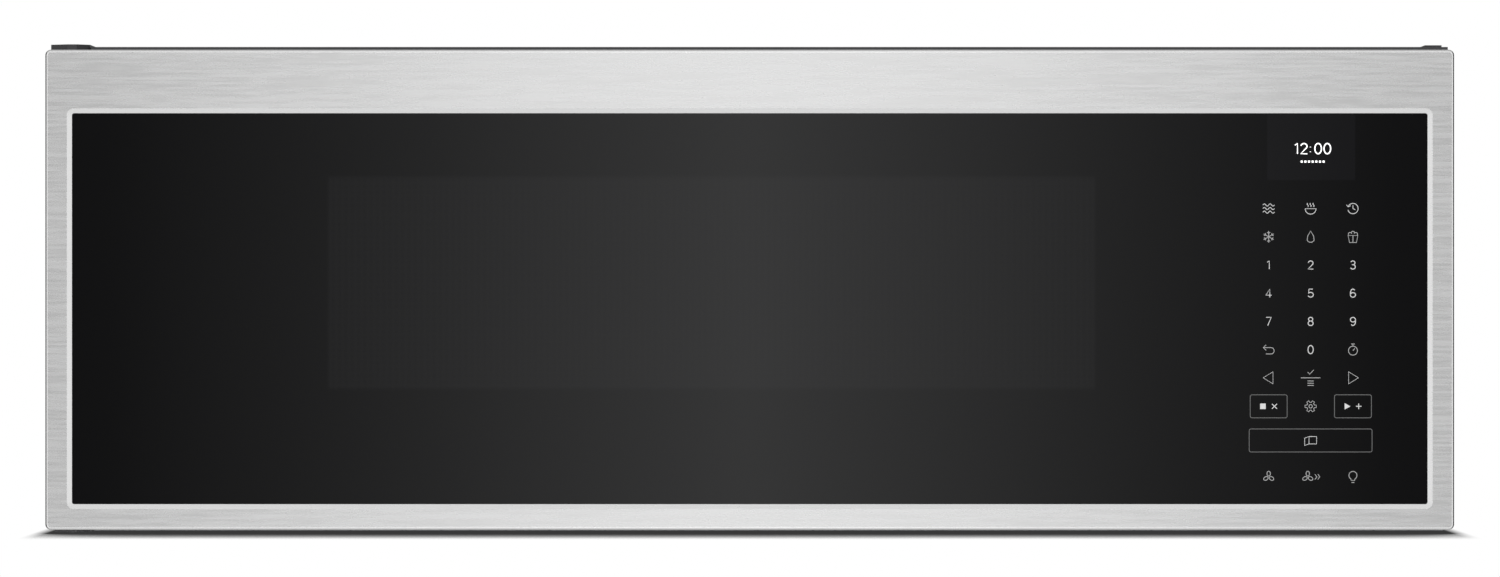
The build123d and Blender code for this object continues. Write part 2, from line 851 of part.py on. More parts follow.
def grease_filter(x):
    fore, back = filter_y - filter_depth / 2, filter_y + filter_depth / 2
    left, right = x - filter_width / 2, x + filter_width / 2
    rim = box(left, right, fore, back, filter_lift, filter_lift + filter_wall)
    rim -= box(left + filter_frame, right - filter_frame, fore + filter_frame, back - filter_frame,
               filter_lift, filter_lift + filter_wall)
    inner_x, inner_y = filter_width - 2 * filter_frame, filter_depth - 2 * filter_frame
    pitch_x, pitch_y = inner_x / filter_columns, inner_y / filter_rows
    hole_x, hole_y = pitch_x * filter_hole_share / 2, pitch_y * filter_hole_share / 2
    places = [(u, v) for u in spread(filter_columns, pitch_x) for v in spread(filter_rows, pitch_y)]
    mesh = pierced(inner_x, inner_y, places,
                   lambda u, v: Wire.make_polygon([(u - hole_x, v), (u, v - hole_y),
                                                   (u + hole_x, v), (u, v + hole_y)]))
    mesh_low = filter_hinge_z - filter_mesh_wall / 2
    rim += slab_z(Pos(x, filter_y) * mesh, mesh_low, mesh_low + filter_mesh_wall)
    pin_reach = loose_gap + free_gap + filter_ear_wall
    rim += rod_x(filter_hinge_y, filter_hinge_z, filter_pin, left - pin_reach, left)
    return rim + rod_x(filter_hinge_y, filter_hinge_z, filter_pin, right, right + pin_reach)


def lamp_lenses():
    lenses = []
    for x in lamp_centres:
        half_x, half_y = lens_width / 2 - free_gap, lens_depth / 2 - free_gap
        plug = box(x - half_x, x + half_x, lamp_y - half_y, lamp_y + half_y, 0, sheet)
        half_x, half_y = lens_width / 2 + lens_rim, lens_depth / 2 + lens_rim
        lenses.append(plug + box(x - half_x, x + half_x, lamp_y - half_y, lamp_y + half_y,
                                 sheet, sheet + lens_wall))
    return group(lenses)


def cooktop_lamps():
    lamps = []
    for x in lamp_centres:
        half_x, half_y = lamp_box_width / 2, lamp_box_depth / 2
        low = sheet + lens_wall + lamp_leg
        lamp = box(x - half_x, x + half_x, lamp_y - half_y, lamp_y + half_y, low, low + lamp_box_height)
        lamp -= box(x - half_x + sheet, x + half_x - sheet, lamp_y - half_y + sheet,
                    lamp_y + half_y - sheet, low, low + lamp_box_height - sheet)
        leg_in, leg_out = lens_width / 2 + lens_rim + loose_gap, lens_width / 2 + 2 * lens_rim
        for side in (-1, 1):
            arm = sorted([x + side * half_x, x + side * leg_out])
            leg = sorted([x + side * leg_in, x + side * leg_out])
            lamp += box(*arm, lamp_y - half_y, lamp_y + half_y, low, low + sheet)
            lamp += box(*leg, lamp_y - half_y, lamp_y + half_y, sheet, low)
        bulb_low = low + lamp_box_height / 2
        lamp += rod_x(lamp_y, bulb_low, lamp_box_height / 4, x - half_x + sheet, x + half_x - sheet)
        lamps.append(lamp)
    return group(lamps)


def port(x0, x1):
    # the opening that the microwaves come through
    return box(x0, x1, guide_y - port_length / 2, guide_y + port_length / 2,
               guide_z - port_height / 2, guide_z + port_height / 2)


def small_holes(x0, x1, y, z, count, pitch, radius):
    return [rod_x(y + dy, z + dz, radius, x0, x1)
            for dy in spread(count, pitch) for dz in spread(count, pitch)]


def oven_cavity():
    inner = box(cavity_left, cavity_right, plate_back - cavity_corner * 2, cavity_back,
                cavity_low, cavity_top)
    outer = box(cavity_left - sheet, cavity_right + sheet, plate_back - cavity_corner * 2,
                cavity_back + sheet, cavity_low - sheet, cavity_top + sheet)
    inner = fillet(inner.edges().filter_by(Axis.Y) + inner.faces().sort_by(Axis.Y)[-1].edges(),
                   cavity_corner)
    outer = fillet(outer.edges().filter_by(Axis.Y) + outer.faces().sort_by(Axis.Y)[-1].edges(),
                   cavity_corner + sheet)
    shell = outer + rod_z(cavity_x, turn_y, recess_radius + sheet, recess_low - sheet, cavity_low)
    shell = shell - inner - rod_z(cavity_x, turn_y, recess_radius, recess_low, cavity_low)
    shell -= box(cavity_left - 2 * sheet, cavity_right + 2 * sheet, plate_back - cavity_corner * 3,
                 plate_back, 0, cabinet_height)
    shell -= rod_z(cavity_x, turn_y, turn_shaft_radius + loose_gap, recess_low - sheet, recess_low)
    shell -= port(cavity_right, cavity_right + sheet)
    for hole in small_holes(cavity_right, cavity_right + sheet, lamp_case_y, lamp_case_z, 5, 5.0, 1.5):
        shell -= hole
    for hole in small_holes(cavity_left - sheet, cavity_left, lamp_case_y, lamp_case_z, 5, 5.0, 1.5):
        shell -= hole
    return shell


def bay_divider():
    plate = box(cavity_right + sheet, bay_x, plate_back, divider_back, sheet, inner_top)
    # room for the grille's tray, which crosses above
    plate -= box(cavity_right + sheet, bay_x, grille_front - loose_gap, grille_back + loose_gap,
                 cabinet_height - grille_tray_depth - loose_gap, inner_top)
    plate -= port(cavity_right + sheet, bay_x)
    for hole in small_holes(cavity_right + sheet, bay_x, lamp_case_y, lamp_case_z, 5, 5.0, 1.5):
        plate -= hole
    return plate


def waveguide():
    y0, y1 = guide_y - guide_length / 2, guide_y + guide_length / 2
    z0, z1 = guide_z - guide_height / 2, guide_z + guide_height / 2
    duct = box(bay_x, bay_x + guide_width, y0, y1, z0, z1)
    duct -= box(bay_x, bay_x + guide_width - sheet, y0 + sheet, y1 - sheet, z0 + sheet, z1 - sheet)
    return duct - rod_x(guide_y, guide_z, antenna_radius + sheet, bay_x + guide_width - sheet,
                        bay_x + guide_width)


def waveguide_cover():
    return box(cavity_right - sheet, cavity_right, guide_y - port_length / 2 - lens_rim,
               guide_y + port_length / 2 + lens_rim, guide_z - port_height / 2 - lens_rim,
               guide_z + port_height / 2 + lens_rim)


def magnetron():
    x0 = bay_x + guide_width
    x1 = x0 + magnetron_length
    half_y, half_z = magnetron_width / 2, magnetron_height / 2
    yoke = box(x0, x1, guide_y - half_y, guide_y + half_y, guide_z - half_z, guide_z + half_z)
    yoke -= box(x0 + sheet, x1 - sheet, guide_y - half_y + sheet, guide_y + half_y - sheet,
                guide_z - half_z, guide_z + half_z)
    tube = rod_x(guide_y, guide_z, magnetron_core, x0, x1)
    tube += rod_x(guide_y, guide_z, antenna_radius, x0 - antenna_length, x0)
    fins = 6
    for step in range(1, fins):
        x = x0 + magnetron_length * step / fins
        tube += box(x - sheet / 2, x + sheet / 2, guide_y - half_y, guide_y + half_y,
                    guide_z - half_z, guide_z + half_z)
    return yoke + tube


def transformer_core():
    core = box(core_x - core_width / 2, core_x + core_width / 2, core_y - core_depth / 2,
               core_y + core_depth / 2, sheet, sheet + core_height)
    middle = sheet + core_height / 2
    for side in (-1, 1):
        ends = sorted([core_x + side * core_leg / 2, core_x + side * (core_leg / 2 + core_window)])
        core -= box(*ends, core_y - core_depth / 2, core_y + core_depth / 2,
                    middle - core_window_height / 2, middle + core_window_height / 2)
    return core


def transformer_coils():
    coils = []
    middle = sheet + core_height / 2
    in_x, in_y = core_leg / 2 + loose_gap, core_depth / 2 + loose_gap
    out_x, out_y = core_leg / 2 + core_window - loose_gap, core_depth / 2 + coil_stand
    half = core_window_height / 2 - loose_gap
    for z0, z1 in ((middle - half, middle - loose_gap), (middle + loose_gap, middle + half)):
        coil = slab_z(rounded(core_x - out_x, core_x + out_x, core_y - out_y, core_y + out_y,
                              out_x - in_x), z0, z1)
        coils.append(coil - box(core_x - in_x, core_x + in_x, core_y - in_y, core_y + in_y, z0, z1))
    return group(coils)


def capacitor():
    top = sheet + capacitor_height
    can = slab_z(Pos(capacitor_x, capacitor_y) * Rot(0, 0, 90)
                 * SlotOverall(capacitor_length, capacitor_width), sheet, top)
    for y in (capacitor_y - capacitor_width / 4, capacitor_y + capacitor_width / 4):
        can += box(capacitor_x - sheet, capacitor_x + sheet, y - 3, y + 3, top, top + 8)
    return can


def cooling_fan_shroud():
    ring_bore = fan_radius + fan_gap
    wall = box(bay_x, inner_half, fan_y, fan_y + 2 * sheet, sheet, fan_wall_height)
    wall += rod_y(bay_mid, fan_z, ring_bore + fan_ring_wall, fan_y, fan_y + fan_ring_length)
    wall -= rod_y(bay_mid, fan_z, ring_bore, fan_y, fan_y + fan_ring_length)
    arm_front, arm_back = fan_y + fan_ring_length - sheet, fan_y + fan_ring_length + sheet
    spider = rod_y(bay_mid, fan_z, fan_motor_radius, arm_front, arm_back)
    for angle in (90, 210, 330):
        arm = box(0, ring_bore + fan_ring_wall / 2, arm_front, arm_back, -4, 4)
        spider += Pos(bay_mid, 0, fan_z) * Rot(0, angle, 0) * arm
    spider -= rod_y(bay_mid, fan_z, fan_shaft + loose_gap, arm_front, arm_back)
    return wall + spider


def fan_motor_front():
    return fan_y + fan_ring_length + sheet


def cooling_fan_motor():
    y0 = fan_motor_front()
    can = rod_y(bay_mid, fan_z, fan_motor_radius, y0, y0 + fan_motor_length)
    return can - rod_y(bay_mid, fan_z, fan_shaft + running_gap, y0, y0 + fan_motor_length / 2)


def cooling_fan_blade():
    y0, y1 = fan_y + fan_gap, fan_y + fan_ring_length - fan_gap
    fan = rod_y(bay_mid, fan_z, fan_hub, y0, y1)
    fan += rod_y(bay_mid, fan_z, fan_shaft, y1, fan_motor_front() + fan_motor_length / 2 - free_gap)
    length = fan_radius - fan_hub + 2
    chord = (y1 - y0) / cos(radians(fan_pitch))
    middle = (y0 + y1) / 2
    for index in range(fan_blades):
        blade = Pos(fan_hub - 2, 0, 0) * Rot(fan_pitch, 0, 0) * box(0, length, -chord / 2, chord / 2,
                                                                    -fan_blade_wall / 2, fan_blade_wall / 2)
        fan += Pos(bay_mid, middle, fan_z) * Rot(0, index * 360 / fan_blades, 0) * blade
    return fan & rod_y(bay_mid, fan_z, fan_radius, fan_y, fan_motor_front() + fan_motor_length)


def power_board():
    x0 = bay_x + power_stand
    half_y, half_z = power_length / 2, power_height / 2
    board = box(x0, x0 + board_wall, power_y - half_y, power_y + half_y, power_z - half_z, power_z + half_z)
    for y in (power_y - half_y + 6, power_y + half_y - 6):
        for z in (power_z - half_z + 6, power_z + half_z - 6):
            board += rod_x(y, z, 3, bay_x, x0)
    face = x0 + board_wall
    # two relays, a small transformer and a fuse
    for y, z, wide, high, deep in ((-24, 40, 20, 16, 16), (4, 40, 20, 16, 16), (-12, -10, 36, 32, 22),
                                   (22, -40, 12, 34, 10)):
        board += box(face, face + deep, power_y + y - wide / 2, power_y + y + wide / 2,
                     power_z + z - high / 2, power_z + z + high / 2)
    return board


def cavity_lamp():
    half = lamp_case / 2
    case = box(bay_x, bay_x + lamp_case, lamp_case_y - half, lamp_case_y + half,
               lamp_case_z - half, lamp_case_z + half)
    case -= box(bay_x, bay_x + lamp_case - sheet, lamp_case_y - half + sheet, lamp_case_y + half - sheet,
                lamp_case_z - half + sheet, lamp_case_z + half - sheet)
    socket = rod_x(lamp_case_y, lamp_case_z, lamp_socket, bay_x + lamp_case / 2, bay_x + lamp_case - sheet)
    bulb = rod_x(lamp_case_y, lamp_case_z, lamp_bulb, bay_x + sheet, bay_x + lamp_case / 2)
    bulb = fillet(bulb.edges().filter_by(GeomType.CIRCLE), lamp_bulb / 2)
    return case + socket + bulb


def vent_grille():
    flange_front = plate_back + sheet
    flange_back = grille_back + grille_flange
    left = hinge_right + 3
    right = body_half - loose_gap
    top = cabinet_height + grille_wall
    plate = box(left, right, flange_front, flange_back, cabinet_height, top)
    half, wall_in = grille_width / 2, grille_tray_wall
    tray_low_z = cabinet_height - grille_tray_depth
    tray = box(-half, half, grille_front, grille_back, tray_low_z, cabinet_height)
    tray -= box(-half + wall_in, half - wall_in, grille_front + wall_in, grille_back - wall_in,
                tray_low_z + wall_in, cabinet_height)
    tray -= box(-half + grille_ledge, half - grille_ledge, grille_front + grille_ledge,
                grille_back - grille_ledge, tray_low_z, tray_low_z + wall_in)
    grille = plate + tray
    pitch_x, pitch_y = grille_width / grille_columns, (grille_depth - 4) / grille_rows
    middle = (grille_front + grille_back) / 2
    for x in spread(grille_columns, pitch_x):
        for y in spread(grille_rows, pitch_y):
            grille -= box(x - grille_slot_length / 2, x + grille_slot_length / 2,
                          middle + y - grille_slot_width / 2, middle + y + grille_slot_width / 2,
                          cabinet_height, top)
    cap_left = right - end_cap_width
    cap = make_face(Polyline((cap_left, top), (right, top), (right, top + end_cap_height),
                             (cap_left + end_cap_height / 2, top + end_cap_height), (cap_left, top)))
    return grille + slab_y(cap, flange_front, flange_front + end_cap_depth)


def charcoal_filter():
    wall_in = grille_tray_wall + loose_gap
    low = cabinet_height - grille_tray_depth + grille_tray_wall
    left, right = -grille_width / 2 + wall_in, grille_width / 2 - wall_in
    fore, back = grille_front + wall_in, grille_back - wall_in
    pad = box(left, right, fore, back, low, low + charcoal_height)
    # grooves between the pleats
    pitch = (right - left) / 24
    for x in spread(23, pitch):
        pad -= box((left + right) / 2 + x - 1, (left + right) / 2 + x + 1, fore + 4, back - 4,
                   low + charcoal_height - 3, low + charcoal_height)
    return pad


def duct_collar():
    half, wall_in = duct_width / 2, duct_wall
    low, top = cabinet_height, cabinet_height + duct_height
    collar = box(-half - duct_flange, half + duct_flange, duct_front - duct_flange,
                 duct_back + duct_flange, low, low + wall_in)
    collar += box(-half, half, duct_front, duct_back, low, top)
    collar -= box(-half + wall_in, half - wall_in, duct_front + wall_in, duct_back - wall_in, low, top)
    ledge_low = flap_low - free_gap - wall_in
    ledge = box(-half + wall_in, half - wall_in, duct_front + wall_in, flap_y - 4 * ledge_width,
                ledge_low, ledge_low + wall_in)
    ledge -= box(-half + wall_in + ledge_width, half - wall_in - ledge_width,
                 duct_front + wall_in + ledge_width, flap_y, ledge_low, ledge_low + wall_in)
    return collar + ledge - rod_x(flap_y, flap_z, flap_pin + running_gap, -half, half)


def damper_flap():
    half = duct_width / 2 - duct_wall - loose_gap
    flap = box(-half, half, duct_front + duct_wall + loose_gap, flap_y, flap_low, flap_low + flap_wall)
    barrel = rod_x(flap_y, flap_z, flap_pin, -duct_width / 2, duct_width / 2)
    return flap + barrel


def blower_side(side):
    # one half of the housing: a scroll with its outlet under the duct
    def shell(inset, top):
        ends = sorted([side * (motor_length / 2 + inset), side * (motor_length / 2 + scroll_length - inset)])
        scroll = rod_x(blower_y, blower_z, scroll_radius - inset, *ends)
        return scroll + box(*ends, duct_front + duct_wall + 2 + inset, duct_back - duct_wall - 2 - inset,
                            blower_z, top)
    inner_end, outer_end = side * motor_length / 2, side * (motor_length / 2 + scroll_length)
    housing = shell(0, inner_top) - shell(scroll_wall, inner_top)
    housing -= rod_x(blower_y, blower_z, blower_inlet,
                     *sorted([outer_end - side * scroll_wall, outer_end]))
    return housing - rod_x(blower_y, blower_z, blower_shaft_radius + 2,
                           *sorted([inner_end, inner_end + side * scroll_wall]))


def blower_housing():
    return group([blower_side(-1), blower_side(1)])


def blower_motor():
    half = motor_length / 2
    can = rod_x(blower_y, blower_z, motor_radius, -half + 6, half - 6)
    for side in (-1, 1):
        can += rod_x(blower_y, blower_z, motor_radius / 2, *sorted([side * (half - 6), side * half]))
    return can - rod_x(blower_y, blower_z, blower_shaft_radius + running_gap, -half, half)


def blower_wheel(side):
    near = motor_length / 2 + scroll_wall + wheel_end_gap
    far = motor_length / 2 + scroll_length - scroll_wall - wheel_end_gap
    inner = wheel_radius - wheel_ring
    middle = (near + far) / 2
    wheel = rod_x(blower_y, blower_z, wheel_radius - 1, middle - 1, middle + 1)
    for end in (near, far - 2):
        wheel += (rod_x(blower_y, blower_z, wheel_radius, end, end + 2)
                  - rod_x(blower_y, blower_z, inner, end, end + 2))
    for index in range(blade_count):
        blade = box(near, far, inner + 0.5, wheel_radius - 0.5, -blade_wall / 2, blade_wall / 2)
        wheel += Pos(0, blower_y, blower_z) * Rot(index * 360 / blade_count, 0, 0) * blade
    wheel += rod_x(blower_y, blower_z, blower_shaft_radius * 2, middle - 6, middle + 6)
    wheel -= rod_x(blower_y, blower_z, blower_shaft_radius, middle - 6, middle + 6)
    return wheel if side > 0 else mirror(wheel, about=Plane.YZ)


def blower_wheels():
    return group([blower_wheel(-1), blower_wheel(1)])


def blower_shaft():
    end = motor_length / 2 + scroll_length * 2 / 3
    return rod_x(blower_y, blower_z, blower_shaft_radius, -end, end)


def turntable_motor():
    top = recess_low - sheet
    can = rod_z(cavity_x, turn_y, motor_can_radius, top - motor_can_height, top)
    return can - rod_z(cavity_x, turn_y, turn_shaft_radius + running_gap, top - motor_can_height / 2, top)


def coupler_low():
    return recess_low + 2


def turntable_shaft():
    return rod_z(cavity_x, turn_y, turn_shaft_radius, recess_low - sheet - motor_can_height / 2 + free_gap,
                 coupler_low() + coupler_height - 1)


def turntable_coupler():
    low = coupler_low()
    top = low + coupler_height
    coupler = rod_z(0, 0, coupler_hub, low, top)
    for index in range(roller_count):
        arm = box(0, coupler_reach, -coupler_arm / 2, coupler_arm / 2, low + coupler_height / 3, top)
        coupler += Rot(0, 0, index * 360 / roller_count) * arm
    coupler -= rod_z(0, 0, turn_shaft_radius, low, top - 1)
    return Pos(cavity_x, turn_y, 0) * coupler


def roller_ring():
    half = ring_width / 2
    ring = rod_z(0, 0, ring_outer, roller_z - half, roller_z + half)
    ring -= rod_z(0, 0, ring_outer - ring_width, roller_z - half, roller_z + half)
    wheel_end = roller_circle + roller_width / 2
    for index in range(roller_count):
        axle = rod_x(0, roller_z, roller_axle, ring_outer - 1, wheel_end + loose_gap)
        axle += rod_x(0, roller_z, roller_axle * 1.6, wheel_end + loose_gap, wheel_end + loose_gap + 1.5)
        ring += Rot(0, 0, 90 + index * 360 / roller_count) * axle
    return Pos(cavity_x, turn_y, 0) * ring


def roller_wheel(index):
    near, far = roller_circle - roller_width / 2, roller_circle + roller_width / 2
    wheel = rod_x(0, roller_z, roller_radius, near, far)
    wheel -= rod_x(0, roller_z, roller_axle + running_gap, near, far)
    return Pos(cavity_x, turn_y, 0) * Rot(0, 0, 90 + index * 360 / roller_count) * wheel


def glass_tray():
    rim = tray_radius - tray_flat
    low = tray_low
    profile = make_face(Polyline(
        (0, low), (tray_flat, low), (tray_flat + rim * 0.9, low + tray_rim * 0.75),
        (tray_radius, low + tray_rim), (tray_radius - tray_wall * 0.6, low + tray_rim),
        (tray_flat + rim * 0.8, low + tray_rim * 0.85), (tray_flat - tray_wall * 0.3, low + tray_wall),
        (0, low + tray_wall), (0, low)))
    tray = revolve(Plane.XZ * profile, Axis.Z)
    # lugs that stand between the coupler's arms
    for index in range(roller_count):
        angle = radians(32 + index * 360 / roller_count)
        tray += rod_z(lug_circle * cos(angle), lug_circle * sin(angle), lug_radius, low - lug_length, low)
    return Pos(cavity_x, turn_y, 0) * tray


def cord_gland():
    top = cabinet_height + gland_length / 2
    low = top - gland_length
    gland = rod_z(gland_x, gland_y, gland_neck, low, top)
    gland += rod_z(gland_x, gland_y, gland_flange, cabinet_height, top)
    return gland - rod_z(gland_x, gland_y, gland_bore, low, top)


def cabinet_screws():
    screws = [rod_y(x, z, screw_head, panel_back, panel_back + screw_head_height)
              + rod_y(x, z, screw_shank, panel_back - screw_length, panel_back)
              for x, z in rear_screw_places()]
    plate_top = cabinet_height + upper_plate_wall
    screws += [rod_z(x, y, screw_head, plate_top, plate_top + hinge_head_height)
               + rod_z(x, y, screw_shank, plate_top - screw_length, plate_top)
               for x, y in hinge_screw_places()]
    return group(screws)


nodes = {
    "outer_wrap": outer_wrap(),
    "front_plate": front_plate(),
    "rear_panel": rear_panel(),
    "base_plate": base_plate(),
    "bay_divider": bay_divider(),
    "wall_plate": wall_plate(),
    "cord_gland": cord_gland(),
    "cabinet_screws": cabinet_screws(),
    "upper_hinge": upper_hinge(),
    "lower_hinge": lower_hinge(),
    "vent_grille": vent_grille(),
    "charcoal_filter": charcoal_filter(),
    "duct_collar": duct_collar(),
    "damper_flap": damper_flap(),
    "blower_housing": blower_housing(),
    "blower_motor": blower_motor(),
    "blower_shaft": blower_shaft(),
    "blower_wheels": blower_wheels(),
    "grease_filter_left": grease_filter(filter_centres[0]),
    "grease_filter_right": grease_filter(filter_centres[1]),
    "cooktop_lamps": cooktop_lamps(),
    "lamp_lenses": lamp_lenses(),
    "oven_cavity": oven_cavity(),
    "waveguide": waveguide(),
    "waveguide_cover": waveguide_cover(),
    "magnetron": magnetron(),
    "transformer_core": transformer_core(),
    "transformer_coils": transformer_coils(),
    "capacitor": capacitor(),
    "cooling_fan_shroud": cooling_fan_shroud(),
    "cooling_fan_motor": cooling_fan_motor(),
    "cooling_fan_blade": cooling_fan_blade(),
    "power_board": power_board(),
    "cavity_lamp": cavity_lamp(),
    "turntable_motor": turntable_motor(),
    "turntable_shaft": turntable_shaft(),
    "turntable_coupler": turntable_coupler(),
    "glass_tray": glass_tray(),
    "roller_ring": roller_ring(),
    "latch_board": latch_board(),
    "interlock_switches": interlock_switches(),
    "opener_solenoid": opener_solenoid(),
    "opener_plunger": opener_plunger(),
    "latch_hooks": latch_hooks(),
    "latch_spring": latch_spring(),
    "door_frame": door_frame(),
    "door_glass": door_glass(),
    "touch_board": touch_board(),
    "display_module": display_module(),
    "control_carrier": control_carrier(),
    "choke_panel": choke_panel(),
    "window_screen": window_screen(),
    "inner_window": inner_window(),
    "choke_cover": choke_cover(),
    "door_screws": door_screws(),
    "hinge_bushes": hinge_bushes(),
}
for index in range(roller_count):
    nodes[f"roller_wheel_{index + 1}"] = roller_wheel(index)

os.makedirs("parts", exist_ok=True)
for name, shape in nodes.items():
    export_step(shape, f"parts/{name}.step")
print("hinge line", round(hinge_x, 3), round(hinge_y, 3))
print("turntable", round(cavity_x, 3), round(turn_y, 3), "tray", round(tray_low, 3))
print("flap line", round(flap_y, 3), round(flap_z, 3))
print("filter line", round(filter_hinge_y, 3), round(filter_hinge_z, 3))
print("fan", round(bay_mid, 3), round(fan_z, 3), "blower", blower_y, blower_z)
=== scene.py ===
import bpy
import bmesh
from math import cos, pi, radians, sin, sqrt
from mathutils import Matrix, Vector


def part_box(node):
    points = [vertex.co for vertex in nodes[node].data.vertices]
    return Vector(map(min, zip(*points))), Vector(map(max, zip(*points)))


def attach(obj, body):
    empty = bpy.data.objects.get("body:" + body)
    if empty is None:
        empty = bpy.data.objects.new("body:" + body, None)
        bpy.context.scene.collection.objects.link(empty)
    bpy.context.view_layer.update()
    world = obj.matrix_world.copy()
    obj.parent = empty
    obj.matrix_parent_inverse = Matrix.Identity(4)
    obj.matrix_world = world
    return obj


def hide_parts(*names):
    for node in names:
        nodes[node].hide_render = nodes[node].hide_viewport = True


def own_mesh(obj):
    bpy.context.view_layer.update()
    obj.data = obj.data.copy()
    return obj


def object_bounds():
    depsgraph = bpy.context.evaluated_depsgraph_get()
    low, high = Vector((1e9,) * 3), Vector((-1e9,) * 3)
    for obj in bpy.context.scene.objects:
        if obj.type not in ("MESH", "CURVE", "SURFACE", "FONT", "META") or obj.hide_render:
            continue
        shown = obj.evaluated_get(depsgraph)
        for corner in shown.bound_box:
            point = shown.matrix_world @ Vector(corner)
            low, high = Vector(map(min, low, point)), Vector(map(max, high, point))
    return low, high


# A wide over-the-range microwave: brushed steel round black glass, with the hood's filters below.
# Metres, X to the right, Y to the back, Z up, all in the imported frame.

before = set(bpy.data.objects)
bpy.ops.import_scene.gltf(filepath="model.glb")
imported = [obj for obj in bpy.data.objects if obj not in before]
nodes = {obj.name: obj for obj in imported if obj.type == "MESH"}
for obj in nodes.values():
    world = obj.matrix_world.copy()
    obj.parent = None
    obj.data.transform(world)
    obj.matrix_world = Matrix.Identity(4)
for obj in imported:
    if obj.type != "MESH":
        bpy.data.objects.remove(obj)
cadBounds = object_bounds()
mm = 0.001
print("frame loaded,", len(nodes), "nodes")


def deselectAll():
    if bpy.context.object and bpy.context.object.mode == "EDIT":
        bpy.ops.object.mode_set(mode="OBJECT")
    bpy.ops.object.select_all(action="DESELECT")


def activate(piece):
    deselectAll()
    piece.select_set(True)
    bpy.context.view_layer.objects.active = piece
    return piece


# Photograph and camera

photo = {
    "width": 1500, "height": 577,        # pixels
    "pixel": 0.5384 * mm,                # what one pixel spans on the steel face
    "topRow": 47.0,                      # pixel row of the dark strip's upper edge
    "stripTop": 262.0 * mm,              # where that edge seems to be, on the plane of the steel face
    "middleColumn": 749.75,              # pixel column of the cabinet's middle
    "distance": 3.5,                     # from the lens to the steel face
    "sensor": 36.0, "reach": 50.0,       # millimetres across, and how far the camera sees
}


def photoX(column):
    return (column - photo["middleColumn"]) * photo["pixel"]


def photoZ(row):
    return photo["stripTop"] - (row - photo["topRow"]) * photo["pixel"]


def makeCamera():
    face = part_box("door_frame")[0].y
    camera = bpy.data.cameras.new("camera")
    shownWidth = photo["width"] * photo["pixel"]
    camera.sensor_width = photo["sensor"]
    camera.lens = photo["sensor"] * photo["distance"] / shownWidth
    camera.clip_end = photo["reach"]
    holder = bpy.data.objects.new("camera", camera)
    bpy.context.scene.collection.objects.link(holder)
    holder.location = (photoX(photo["width"] / 2), face - photo["distance"], photoZ(photo["height"] / 2))
    holder.rotation_euler = (pi / 2, 0, 0)
    bpy.context.scene.camera = holder


makeCamera()
bpy.context.scene.view_settings.view_transform = "Standard"


# Materials

def linear(hexText):
    channels = [int(hexText[i:i + 2], 16) / 255 for i in (1, 3, 5)]
    return [c / 12.92 if c <= 0.04045 else ((c + 0.055) / 1.055) ** 2.4 for c in channels] + [1.0]


def addNode(tree, kind, settings=None):
    # a setting is a property, the value of an input, or the output of another node that feeds the input
    node = tree.nodes.new(kind)
    for name, value in (settings or {}).items():
        if isinstance(value, bpy.types.NodeSocket):
            tree.links.new(value, node.inputs[name])
        elif isinstance(name, int) or name in node.inputs:
            node.inputs[name].default_value = value
        else:
            setattr(node, name, value)
    return node


def blankMaterial(name):
    material = bpy.data.materials.new(name)
    material.use_nodes = True
    tree = material.node_tree
    tree.nodes.clear()
    return material, tree, addNode(tree, "ShaderNodeTexCoord").outputs["Object"]


def coat(material, settings):
    shader = addNode(material.node_tree, "ShaderNodeBsdfPrincipled", settings)
    addNode(material.node_tree, "ShaderNodeOutputMaterial", {"Surface": shader.outputs[0]})
    return material


def axes(tree, vector):
    return addNode(tree, "ShaderNodeSeparateXYZ", {0: vector}).outputs


def maths(tree, operation, *terms):
    return addNode(tree, "ShaderNodeMath", {"operation": operation, **dict(enumerate(terms))}).outputs[0]


def ramp(tree, value, start, end):
    # from 0 to 1 while the value goes from start to end
    return addNode(tree, "ShaderNodeMapRange",
                   {"Value": value, "From Min": start, "From Max": end}).outputs[0]


def between(tree, share, low, high):
    # from low to high while the share goes from 0 to 1
    return addNode(tree, "ShaderNodeMapRange", {"Value": share, "To Min": low, "To Max": high}).outputs[0]


def mixColours(tree, share, first, second):
    first, second = [linear(colour) if isinstance(colour, str) else colour for colour in (first, second)]
    return addNode(tree, "ShaderNodeMix", {"data_type": "RGBA", 0: share, 6: first, 7: second}).outputs[2]


def mixLevels(tree, share, first, second):
    return addNode(tree, "ShaderNodeMix", {"data_type": "FLOAT", 0: share, 2: first, 3: second}).outputs[0]


def noise(tree, vector, scale, detail=2.0):
    return addNode(tree, "ShaderNodeTexNoise",
                   {"Vector": vector, "Scale": scale, "Detail": detail}).outputs["Fac"]


def cells(tree, vector, size, settings=None):
    return addNode(tree, "ShaderNodeTexVoronoi",
                   {"Vector": vector, "Scale": 1 / size, **(settings or {})}).outputs


waveSpacing = 0.314                      # from one band of a wave texture to the next, at a scale of 1


def bands(tree, vector, axis, spacing, distortion=0.0):
    return addNode(tree, "ShaderNodeTexWave",
                   {"Vector": vector, "bands_direction": axis, "Scale": waveSpacing / spacing,
                    "Distortion": distortion}).outputs["Fac"]


def relief(tree, height, strength, depth, invert=False):
    return addNode(tree, "ShaderNodeBump", {"Height": height, "Strength": strength, "Distance": depth,
                                            "invert": invert}).outputs[0]


def setMaterial(mesh, material):
    mesh.materials.clear()
    mesh.materials.append(material)


def paintNodes(material, *names):
    for name in names:
        setMaterial(nodes[name].data, material)


steel = {
    "colour": "#DEDEDE", "roughness": 0.27, "spread": 0.75,
    "streaks": ((16.0 * mm, 0.7 * mm), (60.0 * mm, 1.3 * mm)),    # length and width in the two layers
    "rowJump": 7.37,                     # from one row's place in the noise to the next row's
    "noiseRange": (0.32, 0.68),          # where most of the mixed noise lies
    "shade": 0.02, "roughSpread": 0.02, "grainRelief": 0.032, "grainDepth": 0.03 * mm,
}


